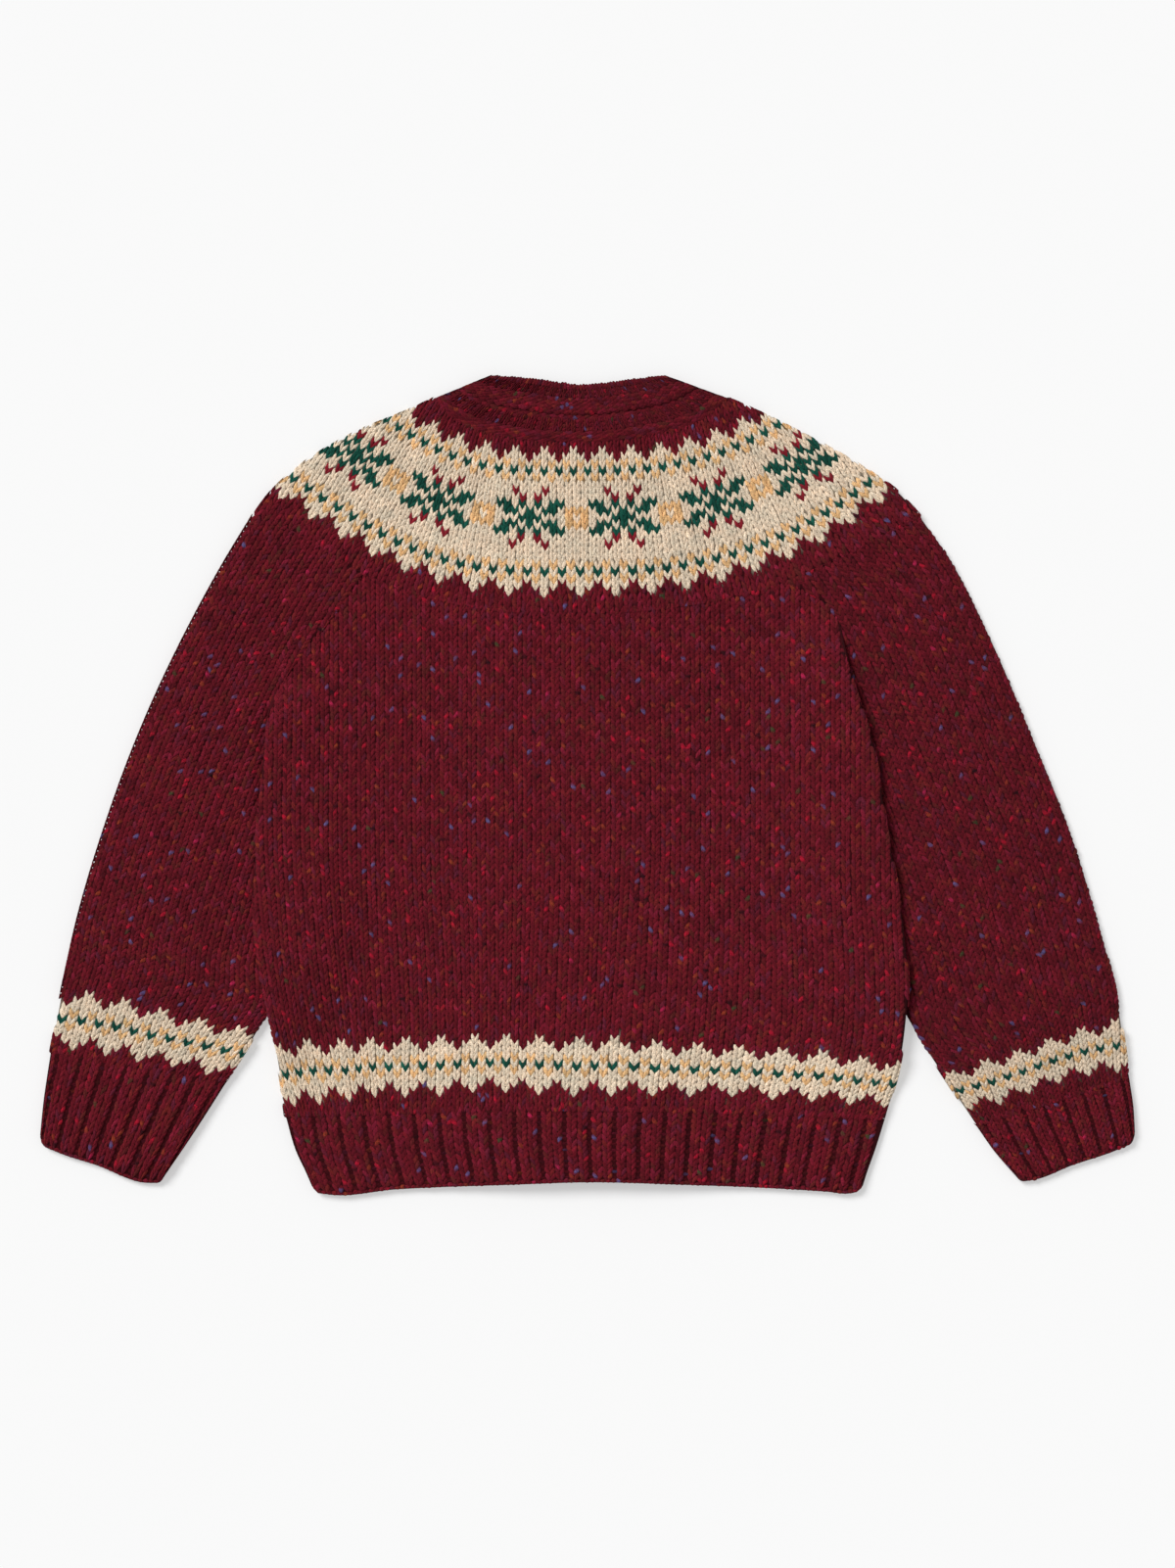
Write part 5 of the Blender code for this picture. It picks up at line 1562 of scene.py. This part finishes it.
def knit_yoke():
    """The round yoke, from one front band over both shoulders and the back to the other."""
    seam, folds = yoke_lines()
    neck = dense(NECK_SEAM)
    left_seam, right_seam = cut_at(seam, -BAND_EDGE, True), cut_at(seam, BAND_EDGE, False)
    front_left, front_right = dense(FRONT_SEAM_LEFT), dense(FRONT_SEAM_RIGHT)
    pieces = []
    for number, (ending, outline, seams) in enumerate((
            ("", (seam, folds[1], neck[::-1], folds[0][::-1]), (seam[6:-6], neck[6:-6])),
            ("_front_left", (left_seam, front_left[::-1], folds[0][::-1]),
             (left_seam[6:-2], front_left[6:-2])),
            ("_front_right", (right_seam, folds[1], front_right),
             (right_seam[2:-6], front_right[6:-2])))):
        outline, low = np.vstack(outline), bool(ending)
        face = strip_face(folds, not low)
        knitting = Knitting("yoke" + ending, 30 + number, low)
        for band in YOKE_BANDS:
            place = yoke_place(band)
            u, v = stitch_grid(YOKE_WALES, (-band[1], -band[0] + 1), place, outline)
            knitting.add_stocking(u, v, charted(YOKE_CHART, u, -v), place, face, outline)
        for line in seams:
            knitting.add_seam(line, face)
        pieces.append(knitting)
    parts = ((left_seam[::-1], front_left[::-1], 26), (seam, neck, 70),
             (right_seam[::-1], front_right, 26))
    ups = np.concatenate([[0.0, 0.01], np.linspace(0.04, 0.97, 22), [1.0]])
    shell = cloth(pieces[0], "yoke", *strip_cloth(folds, parts, ups))
    return shell, yarn_of(pieces, "yarn_yoke")


def neck_lines():
    lower, upper = offset(dense(NECK_SEAM), SEAM), dense(NECK_EDGE)
    left, right = offset(dense(FRONT_SEAM_LEFT), SEAM), offset(dense(FRONT_SEAM_RIGHT), -SEAM)
    left[0], right[0] = lower[0], lower[-1]
    left[-1, 0], right[-1, 0] = -BAND_EDGE, BAND_EDGE
    folds = (np.array([lower[0], upper[0]]), np.array([lower[-1], upper[-1]]))
    return lower, upper, left, right, folds


def neck_relief(across, up):
    """Relief of the neckband: its profile, and the rib's grooves where they show."""
    rib = (across * 3.0 * NECK_RIBS - NECK_FIRST) / 3.0
    lift, shown = (np.interp(up, NECK_PROFILE[:, 0], column) for column in NECK_PROFILE.T[1:])
    return lift + shown * rib_depth_at(rib, NECK_RIB_DEPTH)


def knit_neckband():
    """The neckband: purl ridges over a short rib, and a cast-off edge."""
    lower, upper, left, right, folds = neck_lines()
    edge_left, edge_right = dense(FRONT_EDGE_LEFT), dense(FRONT_EDGE_RIGHT)
    base = {high: strip_face(folds, high) for high in (True, False)}
    pieces = []
    for number, (ending, ribs, lines) in enumerate((
            ("", NECK_RIBS, (lower, upper, folds[0], folds[1])),
            ("_front_left", 12, (left[::-1], edge_left[::-1],
                                 np.array([left[-1], edge_left[-1]]), folds[0])),
            ("_front_right", 12, (right, edge_right,
                                  folds[1], np.array([right[-1], edge_right[-1]]))))):
        low = bool(ending)
        knitting = Knitting("neckband" + ending, 35 + number, low)

        def place(rib, course, lines=lines, ribs=ribs):
            return patch_past(lines, (3.0 * rib + NECK_FIRST) / (3.0 * ribs), course / NECK_COUNT)

        def face(x, y, rib, course, low=low, ribs=ribs):
            z = base[not low](x, y)
            if low:
                return z
            return z + neck_relief((3.0 * rib + NECK_FIRST) / (3.0 * ribs), course / NECK_COUNT)

        # Neckband stitches are darkened by a share of their colour, as painted shade.
        for course, kind in NECK_COURSES:
            if kind == "rib":
                rib = np.arange(-1.0, ribs)
                for across, form, wide in ((-FINE_ASIDE, STRAND, FINE_WIDE),
                                           (FINE_ASIDE, STRAND, FINE_WIDE), (0.0, BAR, FINE_BAR)):
                    knitting.add(form, rib + across, np.full(len(rib), course), 0, place, face,
                                 wide=wide, both=across != 0, dim=NECK_PAINTED_SHADE)
            else:
                high, wide, wave, lift = NECK_BARS[kind]
                bars = np.arange(-1.3, ribs, NECK_BAR_STEP)
                rows = course + np.where(np.arange(len(bars)) % 2, wave, -wave)
                knitting.add(BAR * np.array([1.0, high, 1.0, 1.0]), bars, rows, 0, place, face,
                             wide=wide, both=False, lift=lift, dim=NECK_PAINTED_SHADE)
        pieces.append(knitting)
    parts = ((left[::-1], edge_left[::-1], 24), (lower, upper, 126), (right, edge_right, 24))
    ups = np.linspace(0.0, 1.0, 22)
    shell = cloth(pieces[0], "neckband", *strip_cloth(folds, parts, ups, neck_relief))
    return shell, yarn_of(pieces, "yarn_rib")


# ---------------------------------------------------------------- bands and buttons
def knit_band(name, floor, number):
    """A straight strip with its ribs along it, their outside below."""
    half = BAND_WIDTH / 2
    knitting = Knitting(name, number, True)

    def place(rib, course):
        return np.stack([np.clip(rib * BAND_RIB, -half, half),
                         np.clip(BAND_BOTTOM + course * BAND_ROW, BAND_BOTTOM, BAND_TOP)], axis=-1)

    def face(x, y, rib, course):
        edge = round_off(half - np.abs(x), *BAND_SIDE)
        return floor + WALL * (1 - edge) - rib_depth_at(rib, BAND_RIB_DEPTH) * (np.abs(rib) < 1.8)

    course = np.arange(0.5, (BAND_TOP - BAND_BOTTOM) / BAND_ROW)
    for across, form, wide, first in (
            (FINE_ASIDE, knitting.strand, FINE_WIDE, -2),
            (1.0 - FINE_ASIDE, knitting.strand, FINE_WIDE, -2), (0.0, BAR, FINE_BAR, -1)):
        rib, row = (a.ravel() for a in np.meshgrid(np.arange(first, 2) + across, course))
        knitting.add(form, rib, row, 0, place, face, wide=wide, both=across != 0)
    x = half * np.sin(np.linspace(-math.pi / 2, math.pi / 2, 33))
    y = np.concatenate([[BAND_BOTTOM, BAND_BOTTOM + 0.6],
                        np.linspace(BAND_BOTTOM + 1.5, BAND_TOP - 1.5, 60),
                        [BAND_TOP - 0.6, BAND_TOP]])
    plan = np.stack(np.meshgrid(x, y), axis=-1)
    ends = round_off(np.minimum(y - BAND_BOTTOM, BAND_TOP - y), *BAND_ENDS)[:, None]
    edge = round_off(half - np.abs(x), *BAND_SIDE)[None, :] * ends
    wave = rib_depth_at(x / BAND_RIB, BAND_RIB_DEPTH) * (np.abs(x) < half - 2.0)
    shell = flat_cloth(knitting, plan, floor + WALL * (1 - edge) - wave, floor)
    return shell, yarn_of([knitting], "yarn_rib")


def horn_material():
    """Dark polished horn: brown with paler streaks, a clear low gloss."""
    made, tree = new_material("button")
    streak = add_noise(tree, Scale=90.0, Detail=3.0, Distortion=1.5)
    ramp = add_node(tree, "ShaderNodeValToRGB", {"Fac": streak})
    for stop, code, position in zip(ramp.color_ramp.elements, ("2a1710", "6b4630"), (0.35, 0.75)):
        stop.color, stop.position = rgba(code), position
    shader = add_node(tree, "ShaderNodeBsdfPrincipled",
                      {"Base Color": ramp.outputs["Color"], "Roughness": 0.32})
    finish_material(tree, shader)
    return made


def turned_button(index, material):
    """A button turned from rings of its profile, its raised rim and sunken face below."""
    turn = np.linspace(0.0, 2.0 * math.pi, 48, endpoint=False)
    radius, height = np.array(BUTTON_BACK[::-1] + BUTTON_FACE).T[:, :, None] * (
        np.array([BUTTON_RADIUS, BUTTON_THICK])[:, None, None])
    middle = BUTTON_FIRST + BUTTON_STEP * index
    points = np.stack([radius * np.cos(turn), radius * np.sin(turn) + middle, height + 0.0 * turn],
                      axis=-1)
    number = np.arange(points[..., 0].size).reshape(points.shape[:2])
    before = np.roll(number, 1, axis=1)
    sides = quads_of(number[:-1], before[:-1], before[1:], number[1:])
    mesh = bpy.data.meshes.new("button_turned_%d" % (index + 1))
    mesh.from_pydata((points.reshape(-1, 3) * MM).tolist(), [],
                     [*sides.tolist(), number[0].tolist(), number[-1].tolist()])
    face_outward(mesh)
    mesh.shade_smooth()
    mesh.materials.append(material)
    obj = bpy.data.objects.new(mesh.name, mesh)
    bpy.context.scene.collection.objects.link(obj)
    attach(obj, "root")
    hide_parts("button_%d" % (index + 1))
    return obj


# ---------------------------------------------------------------- operators
def declare(knitted):
    """Goes through a piece's cloth and stitches and does nothing with them."""
    shell, stitches = knitted
    for obj in (shell, *stitches):
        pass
    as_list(stitches)


class CARDIGAN_OT_body(bpy.types.Operator):
    """Knit the back and both fronts"""

    bl_idname = "cardigan.body"
    bl_label = "Body"

    def execute(self, context):
        declare(knit_body())
        declare(knit_body("left"))
        declare(knit_body("right"))
        return {"FINISHED"}


class CARDIGAN_OT_hem(bpy.types.Operator):
    """Knit the hem's three ribs"""

    bl_idname = "cardigan.hem"
    bl_label = "Hem ribs"

    def execute(self, context):
        declare(knit_hem())
        for side in ("left", "right"):
            declare(knit_hem(side))
        return {"FINISHED"}


class CARDIGAN_OT_sleeves(bpy.types.Operator):
    """Knit both sleeves and their cuffs"""

    bl_idname = "cardigan.sleeves"
    bl_label = "Sleeves and cuffs"

    def execute(self, context):
        declare(knit_sleeve("left"))
        declare(knit_cuff("left"))
        declare(knit_sleeve("right"))
        declare(knit_cuff("right"))
        return {"FINISHED"}


class CARDIGAN_OT_yoke(bpy.types.Operator):
    """Knit the yoke and the neckband"""

    bl_idname = "cardigan.yoke"
    bl_label = "Yoke and neckband"

    def execute(self, context):
        declare(knit_yoke())
        declare(knit_neckband())
        return {"FINISHED"}


class CARDIGAN_OT_fastening(bpy.types.Operator):
    """Knit the front bands and turn the buttons"""

    bl_idname = "cardigan.fastening"
    bl_label = "Bands and buttons"

    def execute(self, context):
        for number, (name, floor) in enumerate((("button_band", BUTTON_LIFT + WALL + PLY_GAP),
                                                ("buttonhole_band", BUTTON_LIFT))):
            declare(knit_band(name, floor, 40 + number))
        material = horn_material()
        for index in range(BUTTON_COUNT):
            turned_button(index, material)
        return {"FINISHED"}


class CARDIGAN_OT_stage(bpy.types.Operator):
    """Set up the table, the camera and the lights"""

    bl_idname = "cardigan.stage"
    bl_label = "Table, camera and lights"

    def execute(self, context):
        options = context.scene.cardigan_stage
        half = options.floor_size / 2
        mesh = bpy.data.meshes.new("table")
        mesh.from_pydata([(-half, -half, 0), (half, -half, 0), (half, half, 0), (-half, half, 0)],
                         [], [(0, 1, 2, 3)])
        made, tree = new_material("table_light")      # white glass, softly lit from below
        shader = add_node(tree, "ShaderNodeBsdfPrincipled",
                          {"Base Color": rgba("c0c0c0"), "Roughness": 0.95,
                           "Specular IOR Level": 0.1, "Emission Color": (1.0, 1.0, 1.0, 1.0),
                           "Emission Strength": options.glow})
        finish_material(tree, shader)
        mesh.materials.append(made)
        floor = bpy.data.objects.new("table", mesh)
        context.scene.collection.objects.link(floor)
        floor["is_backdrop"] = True

        world = bpy.data.worlds.new("even_light")
        world.use_nodes = True
        world.node_tree.nodes["Background"].inputs["Color"].default_value = (1.0, 1.0, 1.0, 1.0)
        world.node_tree.nodes["Background"].inputs["Strength"].default_value = options.sky
        context.scene.world = world

        data = bpy.data.lights.new("key", "SUN")
        data.energy, data.angle = options.key, math.radians(26.0)
        key = bpy.data.objects.new("key", data)
        way = mathutils.Vector((0.62, -0.62, -0.85))
        key.rotation_euler = way.to_track_quat("-Z", "Y").to_euler()
        context.scene.collection.objects.link(key)

        data = bpy.data.cameras.new("camera")
        data.lens, data.sensor_width = options.focal, 36.0
        camera = bpy.data.objects.new("camera", data)
        camera.location = (0.0, 0.0006, options.camera_height)
        context.scene.collection.objects.link(camera)
        context.scene.camera = camera
        context.scene.view_settings.view_transform = "Standard"
        return {"FINISHED"}


class CARDIGAN_PT_panel(bpy.types.Panel):
    """Settings and steps in the sidebar"""

    bl_label = "Fair isle cardigan"
    bl_idname = "CARDIGAN_PT_panel"
    bl_space_type = "VIEW_3D"
    bl_region_type = "UI"
    bl_category = "Cardigan"

    def draw(self, context):
        layout = self.layout
        for group in (context.scene.cardigan_knit, context.scene.cardigan_stage):
            for name in group.__annotations__:
                layout.prop(group, name)
        for step in STEPS:
            layout.operator(step.bl_idname)


STEPS = (CARDIGAN_OT_body, CARDIGAN_OT_hem, CARDIGAN_OT_sleeves, CARDIGAN_OT_yoke,
         CARDIGAN_OT_fastening, CARDIGAN_OT_stage)
CLASSES = (CardiganKnit, CardiganStage, *STEPS, CARDIGAN_PT_panel)


def register():
    for one in CLASSES:
        bpy.utils.register_class(one)
    bpy.types.Scene.cardigan_knit = bpy.props.PointerProperty(type=CardiganKnit)
    bpy.types.Scene.cardigan_stage = bpy.props.PointerProperty(type=CardiganStage)


def unregister():
    del bpy.types.Scene.cardigan_stage
    del bpy.types.Scene.cardigan_knit
    for one in reversed(CLASSES):
        bpy.utils.unregister_class(one)


def corners(box):
    return [[float(c) for c in corner] for corner in box]


def main():
    register()
    bpy.ops.cardigan.body()
    bpy.ops.cardigan.hem()
    bpy.ops.cardigan.sleeves()
    bpy.ops.cardigan.yoke()
    bpy.ops.cardigan.fastening()
    bpy.ops.cardigan.stage()
    {"cad": corners(CAD_BOX), "visual": corners(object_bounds())}


if __name__ == "__main__":
    main()
